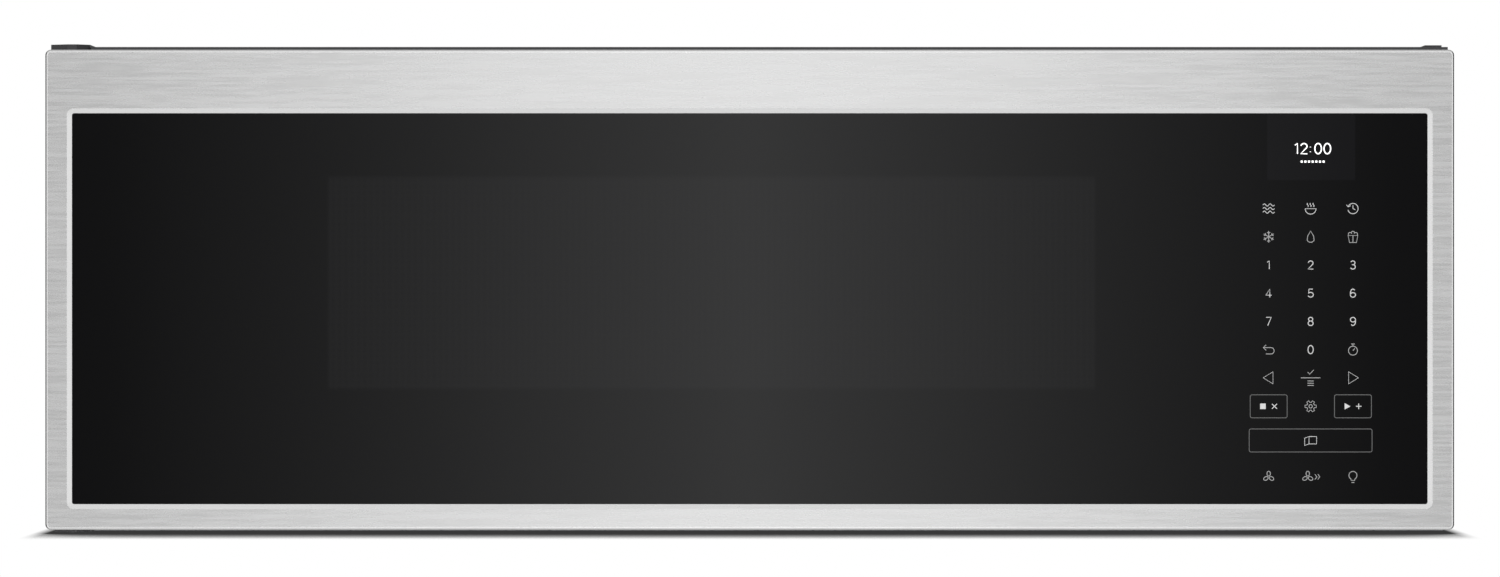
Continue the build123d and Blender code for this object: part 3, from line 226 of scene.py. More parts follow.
def streakLayer(tree, along, across, length, width):
    # straight level streaks: each row as wide as given has a noise of its own along it
    row = maths(tree, "FLOOR", maths(tree, "DIVIDE", across, width))
    spot = addNode(tree, "ShaderNodeCombineXYZ", {0: maths(tree, "DIVIDE", along, length),
                                                  1: maths(tree, "MULTIPLY", row, steel["rowJump"])})
    return addNode(tree, "ShaderNodeTexNoise", {"noise_dimensions": "2D", "Scale": 1.0, "Detail": 0.0,
                                                "Vector": spot.outputs[0]}).outputs["Fac"]


def brushedSteel():
    # 304 stainless sheet, brushed along its length with a fine belt: straight level streaks about 1 mm
    # thick, and reflections drawn out up and down
    material, tree, place = blankMaterial("brushedSteel")
    spot = axes(tree, place)
    facing = axes(tree, addNode(tree, "ShaderNodeTexCoord").outputs["Normal"])
    level = maths(tree, "ABSOLUTE", facing["Z"])
    across = maths(tree, "ADD", spot["Z"], maths(tree, "MULTIPLY", spot["Y"], level))
    along = maths(tree, "ADD", spot["X"], spot["Y"])
    fine, coarse = [streakLayer(tree, along, across, length, width) for length, width in steel["streaks"]]
    mixed = mixLevels(tree, 0.5, fine, coarse)
    share = ramp(tree, mixed, *steel["noiseRange"])
    base = linear(steel["colour"])[:3]
    dark, light = [[min(1.0, c * (1 + sign * steel["shade"])) for c in base] + [1.0] for sign in (-1, 1)]
    rough = between(tree, share, steel["roughness"] - steel["roughSpread"],
                    steel["roughness"] + steel["roughSpread"])
    direction = addNode(tree, "ShaderNodeTangent", {"direction_type": "RADIAL", "axis": "Z"})
    return coat(material, {"Metallic": 1.0, "Anisotropic": steel["spread"], "Anisotropic Rotation": 0.25,
                           "Base Color": mixColours(tree, share, dark, light), "Roughness": rough,
                           "Normal": relief(tree, mixed, steel["grainRelief"], steel["grainDepth"]),
                           "Tangent": direction.outputs[0]})


glass = {
    # the window, dot and display colours are painted light, standing in for the screen and display seen
    # through the opaque glass
    "printColour": "#0B0B0C", "windowColour": "#161617", "displayColour": "#131315", "dotColour": "#131314",
    "dotPitch": 3.4 * mm, "dotRim": (0.30, 0.36),                 # a dot's rim, as shares of the pitch
    "windowInset": 12 * mm, "windowEdge": 2.4 * mm,               # the window inside the pane's edge
    "displayWidth": 47.4 * mm, "displayHeight": 35.5 * mm, "displayEdge": 0.6 * mm,
}


def boxMask(tree, place, low, high, edge):
    # 1 inside the box from low to high in X and Z, falling to 0 across the edge
    spot = axes(tree, place)
    sides = []
    for axis, start, end in (("X", low[0], high[0]), ("Z", low[1], high[1])):
        middle, half = (start + end) / 2, (end - start) / 2
        away = maths(tree, "ABSOLUTE", maths(tree, "SUBTRACT", spot[axis], middle))
        sides.append(ramp(tree, away, half + edge / 2, half - edge / 2))
    return maths(tree, "MULTIPLY", *sides)


def blackGlass():
    # Tempered soda-lime glass, printed black behind with a tinted window and a clear patch over the display,
    # here kept opaque: a deep, even black with a mirror's sharp reflection. The window and the display patch
    # are painted a touch lighter, and the screen's dots are painted into the window: painted light standing
    # in for the screen and display seen through the glass
    material, tree, place = blankMaterial("printedBlackGlass")
    paneLow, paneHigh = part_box("inner_window")
    inset = glass["windowInset"]
    window = boxMask(tree, place, (paneLow.x + inset, paneLow.z + inset),
                     (paneHigh.x - inset, paneHigh.z - inset), glass["windowEdge"])
    shownLow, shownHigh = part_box("display_module")
    middleX, middleZ = (shownLow.x + shownHigh.x) / 2, (shownLow.z + shownHigh.z) / 2
    halfX, halfZ = glass["displayWidth"] / 2, glass["displayHeight"] / 2
    display = boxMask(tree, place, (middleX - halfX, middleZ - halfZ),
                      (middleX + halfX, middleZ + halfZ), glass["displayEdge"])
    flat = addNode(tree, "ShaderNodeMapping", {"Vector": place, "Scale": (1.0, 0.0, 1.0)})
    dots = cells(tree, flat.outputs[0], glass["dotPitch"], {"Randomness": 0.0})
    aroundDots = ramp(tree, dots["Distance"], *glass["dotRim"])
    # painted light: the window is painted lighter, with the screen's holes as dots, standing in for the
    # screen seen through the glass
    paintedScreenLight = mixColours(tree, aroundDots, glass["dotColour"], glass["windowColour"])
    withWindow = mixColours(tree, window, glass["printColour"], paintedScreenLight)
    haze = noise(tree, place, scale=9.0, detail=3.0)
    # painted light: the display patch is painted lighter, standing in for the display seen through the glass
    return coat(material, {"Base Color": mixColours(tree, display, withWindow, glass["displayColour"]),
                           "Roughness": between(tree, haze, low=0.02, high=0.05), "IOR": 1.52})


def powderCoat(name, darker, lighter):
    # Cold-rolled steel with a baked polyester powder: a soft satin with orange peel about 1 mm across
    material, tree, place = blankMaterial(name)
    peel = noise(tree, place, scale=1 / (1.1 * mm))
    cloud = noise(tree, place, scale=6.0, detail=4.0)
    return coat(material, {"Base Color": mixColours(tree, cloud, darker, lighter),
                           "Roughness": between(tree, cloud, low=0.38, high=0.52), "IOR": 1.5,
                           "Normal": relief(tree, peel, strength=0.25, depth=0.06 * mm)})


enamel = {
    "ground": "#84878A", "darkFleck": "#3E4042", "lightFleck": "#C6C8C9",
    "cell": 1.6 * mm, "fleckRim": (0.30, 0.16), "bareShare": 0.55, "darkShare": 0.7,
}


def speckledEnamel():
    # Oven enamel fired onto steel: a hard grey gloss with darker and lighter flecks about 1 mm across
    material, tree, place = blankMaterial("speckledEnamel")
    flecks = cells(tree, place, enamel["cell"])
    chance = axes(tree, flecks["Color"])
    shown = maths(tree, "GREATER_THAN", chance["X"], enamel["bareShare"])
    fleck = maths(tree, "MULTIPLY", ramp(tree, flecks["Distance"], *enamel["fleckRim"]), shown)
    light = maths(tree, "GREATER_THAN", chance["Y"], enamel["darkShare"])
    fleckTone = mixColours(tree, light, enamel["darkFleck"], enamel["lightFleck"])
    wave = noise(tree, place, scale=1 / (6 * mm))
    return coat(material, {"Base Color": mixColours(tree, fleck, enamel["ground"], fleckTone),
                           "Roughness": 0.22, "IOR": 1.55,
                           "Normal": relief(tree, wave, strength=0.2, depth=0.15 * mm)})


def galvanisedSteel():
    # Sheet steel dipped in zinc: crystals 4 to 9 mm across, each with its own shade and shine
    material, tree, place = blankMaterial("galvanisedSteel")
    chance = axes(tree, cells(tree, place, size=7 * mm)["Color"])
    cloud = noise(tree, place, scale=14.0, detail=5.0)
    shade = maths(tree, "MULTIPLY_ADD", chance["X"], 0.5, cloud)
    drawnOut = addNode(tree, "ShaderNodeMapping", {"Vector": place, "Scale": (60.0, 900.0, 900.0)})
    rolled = noise(tree, drawnOut.outputs[0], scale=1.0)
    return coat(material, {"Base Color": mixColours(tree, shade, "#9DA1A4", "#C3C6C8"),
                           "Roughness": between(tree, chance["Y"], low=0.34, high=0.5), "Metallic": 0.9,
                           "Normal": relief(tree, rolled, strength=0.12, depth=0.05 * mm)})


plastics = {                             # two tones, roughness, and size of the grain
    "blackAbs": ("#131314", "#1B1B1C", 0.45, 0.7 * mm),      # ABS from a spark-eroded mould
    "charcoalAbs": ("#3C3C3E", "#464648", 0.45, 0.7 * mm),   # the same, coloured dark grey
    "greyNylon": ("#5A5C5E", "#66686A", 0.42, 0.9 * mm),     # glass-filled nylon of the fan wheels
    "whiteNylon": ("#D6D5CF", "#E2E1DB", 0.38, 0.9 * mm),    # natural nylon, slightly warm
    "acetal": ("#CFCDC4", "#DDDBD2", 0.30, 1.2 * mm),        # turned and moulded bushes, waxy
}


def mouldedPlastic(name):
    # Each plastic above, moulded: even colour, a fine grain from the mould and a faint sheen
    darker, lighter, roughness, grainSize = plastics[name]
    material, tree, place = blankMaterial(name)
    grain = noise(tree, place, scale=1 / grainSize, detail=3.0)
    cloud = noise(tree, place, scale=18.0)
    return coat(material, {"Base Color": mixColours(tree, cloud, darker, lighter), "IOR": 1.5,
                           "Roughness": between(tree, grain, low=roughness - 0.05, high=roughness + 0.07),
                           "Normal": relief(tree, grain, strength=0.35, depth=0.05 * mm)})


def activatedCarbon():
    # Charcoal granules bonded in a fleece: a dull black crumb of grains about 2 mm across
    material, tree, place = blankMaterial("activatedCarbon")
    crumbs = cells(tree, place, size=2.2 * mm)
    shade = axes(tree, crumbs["Color"])["X"]
    return coat(material, {"Base Color": mixColours(tree, shade, "#0C0C0C", "#2A2A2B"), "Roughness": 0.8,
                           "Normal": relief(tree, crumbs["Distance"], strength=0.9, depth=0.8 * mm,
                                            invert=True)})


def coreIron():
    # Silicon-steel plates stacked and varnished: dark grey, with the plates' edges drawn 2 mm apart
    material, tree, place = blankMaterial("laminatedIron")
    plates = bands(tree, place, "Y", spacing=2 * mm, distortion=0.4)
    return coat(material, {"Base Color": mixColours(tree, plates, "#2B2B2E", "#4A4A4D"),
                           "Roughness": 0.42, "Metallic": 0.55, "Coat Weight": 0.3,
                           "Normal": relief(tree, plates, strength=0.5, depth=0.1 * mm)})


def enamelledCopper():
    # Enamelled copper wire in layers: reddish brown and glossy, with the turns drawn 3 mm apart
    material, tree, place = blankMaterial("enamelledCopper")
    turns = bands(tree, place, "Z", spacing=3 * mm)
    return coat(material, {"Base Color": mixColours(tree, turns, "#6E3418", "#B8683A"),
                           "Roughness": 0.3, "Metallic": 0.85, "Coat Weight": 0.5,
                           "Normal": relief(tree, turns, strength=0.8, depth=0.4 * mm)})


board = {
    "cell": 9 * mm, "randomness": 0.6,
    "trackPitch": 0.12, "trackRim": (0.05, 0.07),                 # shares of the cell
}


def solderMask():
    # Glass-epoxy board under green solder mask: smooth, with the copper tracks 2 mm apart standing up faintly
    material, tree, place = blankMaterial("solderMask")
    patches = cells(tree, place, board["cell"], {"distance": "CHEBYCHEV", "feature": "F2",
                                                 "Randomness": board["randomness"]})
    line = maths(tree, "PINGPONG", patches["Distance"], board["trackPitch"])
    track = ramp(tree, line, *board["trackRim"])
    return coat(material, {"Base Color": mixColours(tree, track, "#0D3B20", "#1B5A33"),
                           "Roughness": 0.3, "IOR": 1.55,
                           "Normal": relief(tree, track, strength=0.5, depth=0.04 * mm)})


def pressedMica():
    # Mica flakes pressed into sheet: pale buff, with pearly flakes a few millimetres across
    material, tree, place = blankMaterial("pressedMica")
    chance = axes(tree, cells(tree, place, size=4 * mm)["Color"])
    return coat(material, {"Base Color": mixColours(tree, chance["X"], "#A89B80", "#CBBFA4"),
                           "Roughness": between(tree, chance["Y"], low=0.25, high=0.55),
                           "Sheen Weight": 0.2})


def clearGlass(name, colour, roughness, rippleSize, rippleDepth):
    # Soda-lime glass: colourless to faintly green, flat as a float-glass pane or slightly wavy where pressed
    material, tree, place = blankMaterial(name)
    ripple = noise(tree, place, scale=1 / rippleSize, detail=1.0)
    return coat(material, {"Base Color": linear(colour), "Transmission Weight": 1.0, "IOR": 1.52,
                           "Roughness": between(tree, ripple, low=roughness, high=roughness + 0.015),
                           "Normal": relief(tree, ripple, strength=0.08, depth=rippleDepth)})


def lampGlass():
    # Borosilicate lens, sand-blasted inside: milky white that lets a little light through
    material, tree, place = blankMaterial("frostedGlass")
    frost = noise(tree, place, scale=1 / (0.8 * mm), detail=3.0)
    return coat(material, {"Base Color": linear("#E6E8E6"), "Transmission Weight": 0.45, "IOR": 1.47,
                           "Roughness": 0.4, "Normal": relief(tree, frost, strength=0.4, depth=0.08 * mm)})


def filterAluminium():
    # Aluminium strip and foil, rolled bright: pale and slightly blue, dulled in patches by washing
    material, tree, place = blankMaterial("rolledAluminium")
    wash = noise(tree, place, scale=35.0, detail=4.0)
    return coat(material, {"Base Color": mixColours(tree, wash, "#B9BDC1", "#D9DCDE"), "Metallic": 1.0,
                           "Roughness": between(tree, wash, low=0.26, high=0.48)})


def springSteel():
    # Drawn music wire: bright grey, with a shine that changes finely along it
    material, tree, place = blankMaterial("drawnWire")
    lines = noise(tree, place, scale=1 / (0.4 * mm))
    return coat(material, {"Base Color": linear("#A9AAAC"), "Metallic": 1.0,
                           "Roughness": between(tree, lines, low=0.22, high=0.36)})


def displayPanel():
    # Liquid-crystal panel switched to black: smooth black film, a touch bluer than the print round it
    material, tree, place = blankMaterial("displayPanel")
    rows = bands(tree, place, "Z", spacing=1.6 * mm)
    return coat(material, {"Base Color": mixColours(tree, rows, "#0B0B0E", "#0F0F13"),
                           "Roughness": 0.12, "IOR": 1.5})


inkDip = 0.94                            # how dark the ink's thin spots are, as a share of its colour


def litSign(name, colour, glow):
    # Signs screen-printed in translucent ink and lit from behind: flat, even, a little brighter than paint
    material, tree, place = blankMaterial(name)
    ink = noise(tree, place, scale=1 / (0.6 * mm))
    thin = [c * inkDip for c in linear(colour)[:3]] + [1.0]
    tone = mixColours(tree, ink, thin, colour)
    return coat(material, {"Base Color": tone, "Roughness": 0.5,
                           "Emission Color": tone, "Emission Strength": glow})


def dressNodes():
    paintNodes(brushedSteel(), "door_frame")
    paintNodes(blackGlass(), "door_glass")
    paintNodes(powderCoat("blackPowderCoat", "#141416", "#1E1E20"),
               "outer_wrap", "base_plate", "window_screen")
    paintNodes(powderCoat("greyPowderCoat", "#3A3A3C", "#444446"), "upper_hinge", "lower_hinge")
    paintNodes(speckledEnamel(), "front_plate", "oven_cavity", "choke_panel")
    paintNodes(galvanisedSteel(), "rear_panel", "bay_divider", "wall_plate", "cabinet_screws", "duct_collar",
               "blower_housing", "cooktop_lamps", "waveguide", "magnetron",
               "cooling_fan_shroud", "cavity_lamp", "turntable_motor", "door_screws", "opener_plunger",
               "damper_flap", "blower_shaft", "turntable_shaft")
    paintNodes(mouldedPlastic("blackAbs"), "cord_gland", "control_carrier", "interlock_switches")
    paintNodes(mouldedPlastic("charcoalAbs"), "vent_grille", "choke_cover")
    paintNodes(mouldedPlastic("greyNylon"), "blower_wheels", "cooling_fan_blade")
    paintNodes(mouldedPlastic("whiteNylon"), "latch_board", "latch_hooks")
    paintNodes(mouldedPlastic("acetal"), "hinge_bushes", "turntable_coupler", "roller_ring",
               "roller_wheel_1", "roller_wheel_2", "roller_wheel_3")
    paintNodes(activatedCarbon(), "charcoal_filter")
    paintNodes(coreIron(), "blower_motor", "transformer_core", "cooling_fan_motor", "opener_solenoid")
    paintNodes(enamelledCopper(), "transformer_coils")
    paintNodes(solderMask(), "power_board", "touch_board")
    paintNodes(pressedMica(), "waveguide_cover")
    paintNodes(clearGlass("floatGlass", "#F4F8F6", roughness=0.0, rippleSize=300 * mm,
                          rippleDepth=0.002 * mm), "inner_window")
    paintNodes(clearGlass("pressedGlass", "#E8F2EE", roughness=0.02, rippleSize=14 * mm,
                          rippleDepth=0.1 * mm), "glass_tray")
    paintNodes(lampGlass(), "lamp_lenses")
    paintNodes(springSteel(), "latch_spring")
    paintNodes(displayPanel(), "display_module")
    paintNodes(filterAluminium(), "capacitor", "grease_filter_left", "grease_filter_right")


dressNodes()
print("materials made,", len(bpy.data.materials))


# Signs on the glass

signs = {
    "columns": (279.6 * mm, 302.2 * mm, 325.0 * mm),
    "firstRow": 175.05 * mm, "rowPitch": 15.2 * mm,
    "digitHeight": 4.85 * mm, "digitStroke": 0.5 * mm, "digitWide": 1.12,
    "stroke": 0.38 * mm, "lift": 0.03 * mm, "signSize": 6.2 * mm, "smallSign": 3.0 * mm,
    "ruleWidth": 10.5 * mm, "ruleGap": 2.9 * mm, "pairGap": 3.1 * mm,
    "boxWidth": 19.9 * mm, "boxHeight": 12.4 * mm, "boxCorner": 1.0 * mm,
    "boxRow": 68.5 * mm, "wideBoxWidth": 66.2 * mm, "wideBoxRow": 50.1 * mm, "lastRow": 30.5 * mm,
    "clockX": 303.3 * mm, "clockZ": 207.35 * mm, "clockHeight": 6.1 * mm, "clockStroke": 0.66 * mm,
    "clockPlaces": (-8.6 * mm, -4.7 * mm, -1.25 * mm, 2.95 * mm, 7.9 * mm),
    "dateZ": 200.35 * mm, "dateWidth": 11.8 * mm, "dateDot": 1.1 * mm,
}
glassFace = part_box("door_glass")[0].y


def oval(x, z, halfWidth, halfHeight, start, end, steps=24):
    turn = [radians(start + (end - start) * i / steps) for i in range(steps + 1)]
    return [(x + halfWidth * cos(a), z + halfHeight * sin(a)) for a in turn]


def arc(x, z, radius, start, end, steps=20):
    return oval(x, z, radius, radius, start, end, steps)


def closed(points):
    return points + points[:1]


def roundedBox(halfWidth, halfHeight, corner):
    points = []
    for x, z, start in ((1, 1, 0), (-1, 1, 90), (-1, -1, 180), (1, -1, 270)):
        points += arc(x * (halfWidth - corner), z * (halfHeight - corner), corner, start, start + 90, 6)
    return closed(points)


def finishSign(name, curve, x, z, material):
    # from the flat drawing to a thin print on the glass
    piece = bpy.data.objects.new(name, curve)
    bpy.context.scene.collection.objects.link(piece)
    activate(piece)
    bpy.ops.object.convert(target="MESH")
    mesh = piece.data
    flatten = Matrix.Diagonal((1, 1, 0.0, 1))
    thick = max(v.co.z for v in mesh.vertices)
    flatten[2][2] = signs["lift"] / thick
    mesh.transform(flatten)
    mesh.transform(Matrix.Rotation(pi / 2, 4, "X"))
    mesh.transform(Matrix.Translation((x, glassFace, z)))
    setMaterial(mesh, material)
    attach(piece, "door")


def addLine(curve, points, scale, ring):
    spline = curve.splines.new("POLY")
    spline.points.add(len(points) - 1)
    for point, (u, v) in zip(spline.points, points):
        point.co = (u * scale, v * scale, 0, 1)
    spline.use_cyclic_u = ring


def drawSign(name, strokes, x, z, material, scale=1.0, width=None, fills=()):
    # strokes are lines of one even width, and each fill is a closed shape and a piece of its own
    if strokes:
        curve = bpy.data.curves.new(name, "CURVE")
        curve.dimensions = "3D"
        curve.bevel_depth = (width or signs["stroke"]) / 2
        curve.bevel_resolution = 1
        curve.use_fill_caps = True
        for points in strokes:
            ring = points[0] == points[-1]
            addLine(curve, points[:-1] if ring else points, scale, ring)
        finishSign(name, curve, x, z, material)
    for number, points in enumerate(fills):
        shape = bpy.data.curves.new(name, "CURVE")
        shape.dimensions = "2D"
        shape.fill_mode = "BOTH"
        shape.extrude = signs["lift"]
        addLine(shape, points, scale, True)
        finishSign(f"{name}.fill{number}", shape, x, z, material)


# Each digit is drawn 1 high on its base line, as the middle line of an even stroke

def digitStrokes(digit):
    six = [oval(0, 0.5, 0.255, 0.455, 48, 180, 16) + [(-0.255, 0.31)],
           closed(arc(0, 0.31, 0.255, 0, 350, 24))]
    shapes = {
        "0": [closed(oval(0, 0.5, 0.26, 0.455, 0, 350, 30))],
        "1": [[(-0.14, 0.8), (0.06, 0.955), (0.06, 0.045)]],
        "2": [arc(0, 0.71, 0.24, 170, -38) + [(-0.25, 0.045), (0.26, 0.045)]],
        "3": [arc(-0.01, 0.74, 0.21, 155, -90) + arc(-0.01, 0.29, 0.245, 90, -155),
              [(-0.1, 0.532), (0.0, 0.532)]],
        "4": [[(0.11, 0.045), (0.11, 0.955), (-0.28, 0.28), (0.29, 0.28)]],
        "5": [[(0.21, 0.955), (-0.16, 0.955), (-0.205, 0.5)] + arc(0, 0.33, 0.265, 140, -155)],
        "6": six,
        "7": [[(-0.25, 0.955), (0.25, 0.955), (-0.09, 0.045)]],
        "8": [closed(arc(0, 0.745, 0.21, 0, 345)), closed(arc(0, 0.29, 0.25, 0, 345))],
        "9": [[(-x, 1 - z) for x, z in stroke] for stroke in six],
        ":": [[(0, 0.2), (0, 0.25)], [(0, 0.62), (0, 0.67)]],
    }
    return [[(x * signs["digitWide"], z - 0.5) for x, z in stroke] for stroke in shapes[digit]]


# Each sign is drawn in a square from -1 to 1

def waves():
    return [[(-1 + i / 10, 0.62 * row + 0.2 * sin(i / 10 * 2 * pi)) for i in range(21)] for row in (-1, 0, 1)]


def bowl():
    steam = [[(x + 0.12 * sin(i / 8 * 2 * pi), 0.3 + i * 0.08) for i in range(9)] for x in (-0.5, 0.0, 0.5)]
    return [closed(arc(0, -0.02, 0.95, 180, 360))] + steam


def clockBack():
    return [arc(0, 0, 0.9, 155, -165, 28), [(0, 0.55), (0, 0), (0.42, -0.2)],
            [(-1.15, 0.65), (-0.82, 0.3), (-0.4, 0.5)]]


def snowflake():
    forkPlace, forkLength, forkTurn = 0.58, 0.34, 0.85
    strokes = []
    for a in [radians(30 + 60 * i) for i in range(6)]:
        fork = (forkPlace * cos(a), forkPlace * sin(a))
        left, right = [(fork[0] + forkLength * cos(b), fork[1] + forkLength * sin(b))
                       for b in (a + forkTurn, a - forkTurn)]
        strokes += [[(0, 0), (cos(a), sin(a))], [left, fork, right]]
    return strokes


def drop():
    return [closed([(0, 1.0), (-0.52, 0.12)] + arc(0, -0.3, 0.66, 205, 335, 18) + [(0.52, 0.12)])]


def cornTub():
    puffs = [arc(x, z, 0.3, start, end, 10) for x, z, start, end in
             ((-0.5, 0.45, 20, 220), (0.0, 0.66, -10, 190), (0.5, 0.45, -40, 160))]
    return puffs + [closed([(-0.85, 0.22), (-0.6, -1), (0.6, -1), (0.85, 0.22)]), [(0, 0.22), (0, -1)]]


def hookedArrow():
    return [[(-0.9, 0.35), (0.4, 0.35)] + arc(0.4, -0.2, 0.55, 90, -90, 12) + [(-0.5, -0.75)],
            [(-0.45, 0.82), (-0.95, 0.35), (-0.45, -0.12)]]


def stopwatch():
    return [closed(arc(0, -0.18, 0.78, 0, 345, 24)), [(0, 0.6), (0, 0.98)], [(-0.3, 0.98), (0.3, 0.98)],
            [(0, -0.18), (0.34, 0.2)]]


def triangle(side):
    return [closed([(-0.95 * side, 0), (0.75 * side, 1.05), (0.75 * side, -1.05)])]


def tick():
    return [[(-0.8, 0.1), (-0.25, -0.5), (0.85, 0.7)]]


def menuLines():
    return [[(-0.85, z), (0.85, z)] for z in (0.62, 0.0, -0.62)]


def gear():
    teeth = 6
    rim = []
    for i in range(teeth):
        for share, radius in ((-0.34, 0.68), (-0.2, 1.0), (0.2, 1.0), (0.34, 0.68)):
            a = 2 * pi * (i + share) / teeth
            rim.append((radius * cos(a), radius * sin(a)))
    return [closed(rim), closed(arc(0, 0, 0.3, 0, 345, 16))]


def openDoor():
    return [[(-0.35, 0.85), (1.3, 0.85), (1.3, -0.75), (-0.35, -0.75)],
            closed([(-0.35, 0.85), (-1.3, 0.5), (-1.3, -1.1), (-0.35, -0.75)])]


def fan():
    strokes = []
    for i in range(3):
        blade = oval(0.56, 0.0, 0.42, 0.3, 0, 345, 16)
        turn = Matrix.Rotation(radians(90 + 120 * i), 2)
        strokes.append(closed([tuple(turn @ Vector(point)) for point in blade]))
    return strokes


def fasterFan():
    return fan() + [[(1.25 + shift, 0.45), (1.6 + shift, 0.0), (1.25 + shift, -0.45)] for shift in (0.0, 0.5)]


def bulb():
    return [closed(arc(0, 0.25, 0.7, -60, 240, 22) + [(-0.3, -0.62), (0.3, -0.62)]),
            [(-0.25, -0.98), (0.25, -0.98)]]


def cross(turn):
    return [[(-cos(a), -sin(a)), (cos(a), sin(a))] for a in (radians(turn), radians(turn + 90))]


def drawControls():
    bright = litSign("brightInk", "#DADADA", 0.12)
    plain = litSign("greyInk", "#B8B8B8", 0.08)
    faint = litSign("outlineInk", "#707070", 0.05)
    lit = litSign("displayLight", "#FFFFFF", 0.9)
    half = signs["signSize"] / 2
    rows = [signs["firstRow"] - i * signs["rowPitch"] for i in range(7)]
    left, middle, right = signs["columns"]
    for name, sign, x, row in (
            ("signModes", waves, left, 0), ("signFoods", bowl, middle, 0),
            ("signRecent", clockBack, right, 0), ("signDefrost", snowflake, left, 1),
            ("signMelt", drop, middle, 1), ("signCorn", cornTub, right, 1),
            ("signBack", hookedArrow, left, 5), ("signTimer", stopwatch, right, 5)):
        drawSign(name, sign(), x, rows[row], bright if row == 0 else plain, half)
    for number in range(1, 10):
        drawSign(f"digit{number}", digitStrokes(str(number)), signs["columns"][(number - 1) % 3],
                 rows[2 + (number - 1) // 3], bright, signs["digitHeight"], signs["digitStroke"])
    drawSign("digit0", digitStrokes("0"), middle, rows[5], bright, signs["digitHeight"], signs["digitStroke"])
    small = signs["smallSign"] / 2
    drawSign("arrowLeft", triangle(1), left, rows[6], bright, half)
    drawSign("arrowRight", triangle(-1), right, rows[6], bright, half)
    drawSign("signSelect", tick(), middle, rows[6] + signs["ruleGap"], plain, small * 1.3)
    drawSign("signRule", [[(-1, 0), (1, 0)]], middle, rows[6], plain, signs["ruleWidth"] / 2)
    drawSign("signMenu", menuLines(), middle, rows[6] - signs["ruleGap"], plain, small * 1.3)
    frameSign = roundedBox(signs["boxWidth"] / 2, signs["boxHeight"] / 2, signs["boxCorner"])
    drawSign("stopBox", [frameSign], left, signs["boxRow"], faint)
    drawSign("startBox", [frameSign], right, signs["boxRow"], faint)
    drawSign("openBox", [roundedBox(signs["wideBoxWidth"] / 2, signs["boxHeight"] / 2, signs["boxCorner"])],
             middle, signs["wideBoxRow"], faint)
    drawSign("signStop", [], left - signs["pairGap"], signs["boxRow"], bright, small,
             fills=[[(-1, -1), (1, -1), (1, 1), (-1, 1)]])
    drawSign("signCancel", cross(45), left + signs["pairGap"], signs["boxRow"], bright, small * 1.25,
             signs["digitStroke"])
    drawSign("signStart", [], right - signs["pairGap"], signs["boxRow"], bright, small * 1.15,
             fills=[[(-0.8, -1), (1.0, 0), (-0.8, 1)]])
    drawSign("signMore", cross(0), right + signs["pairGap"], signs["boxRow"], bright, small,
             signs["digitStroke"])
    drawSign("signSettings", gear(), middle, signs["boxRow"], plain, half)
    drawSign("signOpen", openDoor(), middle, signs["wideBoxRow"], bright, half * 0.8)
    drawSign("signFan", fan(), left, signs["lastRow"], plain, half)
    drawSign("signFastFan", fasterFan(), middle - signs["pairGap"] / 2, signs["lastRow"], plain, half)
    drawSign("signLight", bulb(), right, signs["lastRow"], plain, half)
    for place, (digit, shift) in enumerate(zip("12:00", signs["clockPlaces"])):
        drawSign(f"clock{place}", digitStrokes(digit), signs["clockX"] + shift, signs["clockZ"], lit,
                 signs["clockHeight"], signs["clockStroke"])
    size = signs["dateDot"] / 2
    squares = [[(u - size, -size), (u + size, -size), (u + size, size), (u - size, size)]
               for u in [signs["dateWidth"] * (i / 6 - 0.5) for i in range(7)]]
    drawSign("dateDots", [], signs["clockX"], signs["dateZ"], lit, fills=squares)


drawControls()
print("signs drawn")


# Window screen and grease filters, each finer than its plain solid

def pickFaces(piece, test):
    # leaves the piece in edit mode with only the faces that pass the test selected
    activate(piece)
    bpy.ops.object.mode_set(mode="EDIT")
    bpy.ops.mesh.select_mode(type="FACE")
    bpy.ops.mesh.select_all(action="DESELECT")
    surface = bmesh.from_edit_mesh(piece.data)
    for face in surface.faces:
        face.select_set(test(face))
    bmesh.update_edit_mesh(piece.data)


def addBlock(name, low, high):
    deselectAll()
    size = [b - a for a, b in zip(low, high)]
    middle = [(a + b) / 2 for a, b in zip(low, high)]
    bpy.ops.mesh.primitive_cube_add(size=1, location=middle, scale=size)
    bpy.ops.object.transform_apply(location=True, rotation=True, scale=True)
    block = bpy.context.object
    block.name = name
    return block


def openThrough(block, axis, border):
    # cuts the block's middle away along the axis and leaves a rim as wide as the border
    pickFaces(block, lambda face: abs(face.normal[axis]) > 0.9)
    bpy.ops.mesh.inset(thickness=border, use_individual=True)
    bpy.ops.mesh.bridge_edge_loops()
    bpy.ops.object.mode_set(mode="OBJECT")


def applyModifier(piece, kind, **settings):
    activate(piece)
    modifier = piece.modifiers.new(kind.lower(), kind)
    for name, value in settings.items():
        setattr(modifier, name, value)
    bpy.ops.object.modifier_apply(modifier=modifier.name)


def turnMesh(piece, angle, axis, shift):
    piece.data.transform(Matrix.Rotation(angle, 4, axis))
    piece.data.transform(Matrix.Translation(shift))


def joinPieces(name, pieces):
    deselectAll()
    for piece in pieces:
        piece.select_set(True)
    bpy.context.view_layer.objects.active = pieces[0]
    bpy.ops.object.join()
    pieces[0].name = name
    return pieces[0]


screen = {
    "pitch": 3.4 * mm,                   # the real holes are finer, about 2 mm apart
    "holeShare": 0.7,                    # hole across its cell
    "border": 10.0 * mm, "thinner": 0.1 * mm,
    "hidden": 1.5 * mm,                  # how far the holes go in under the border
    "merge": 0.01 * mm,
}


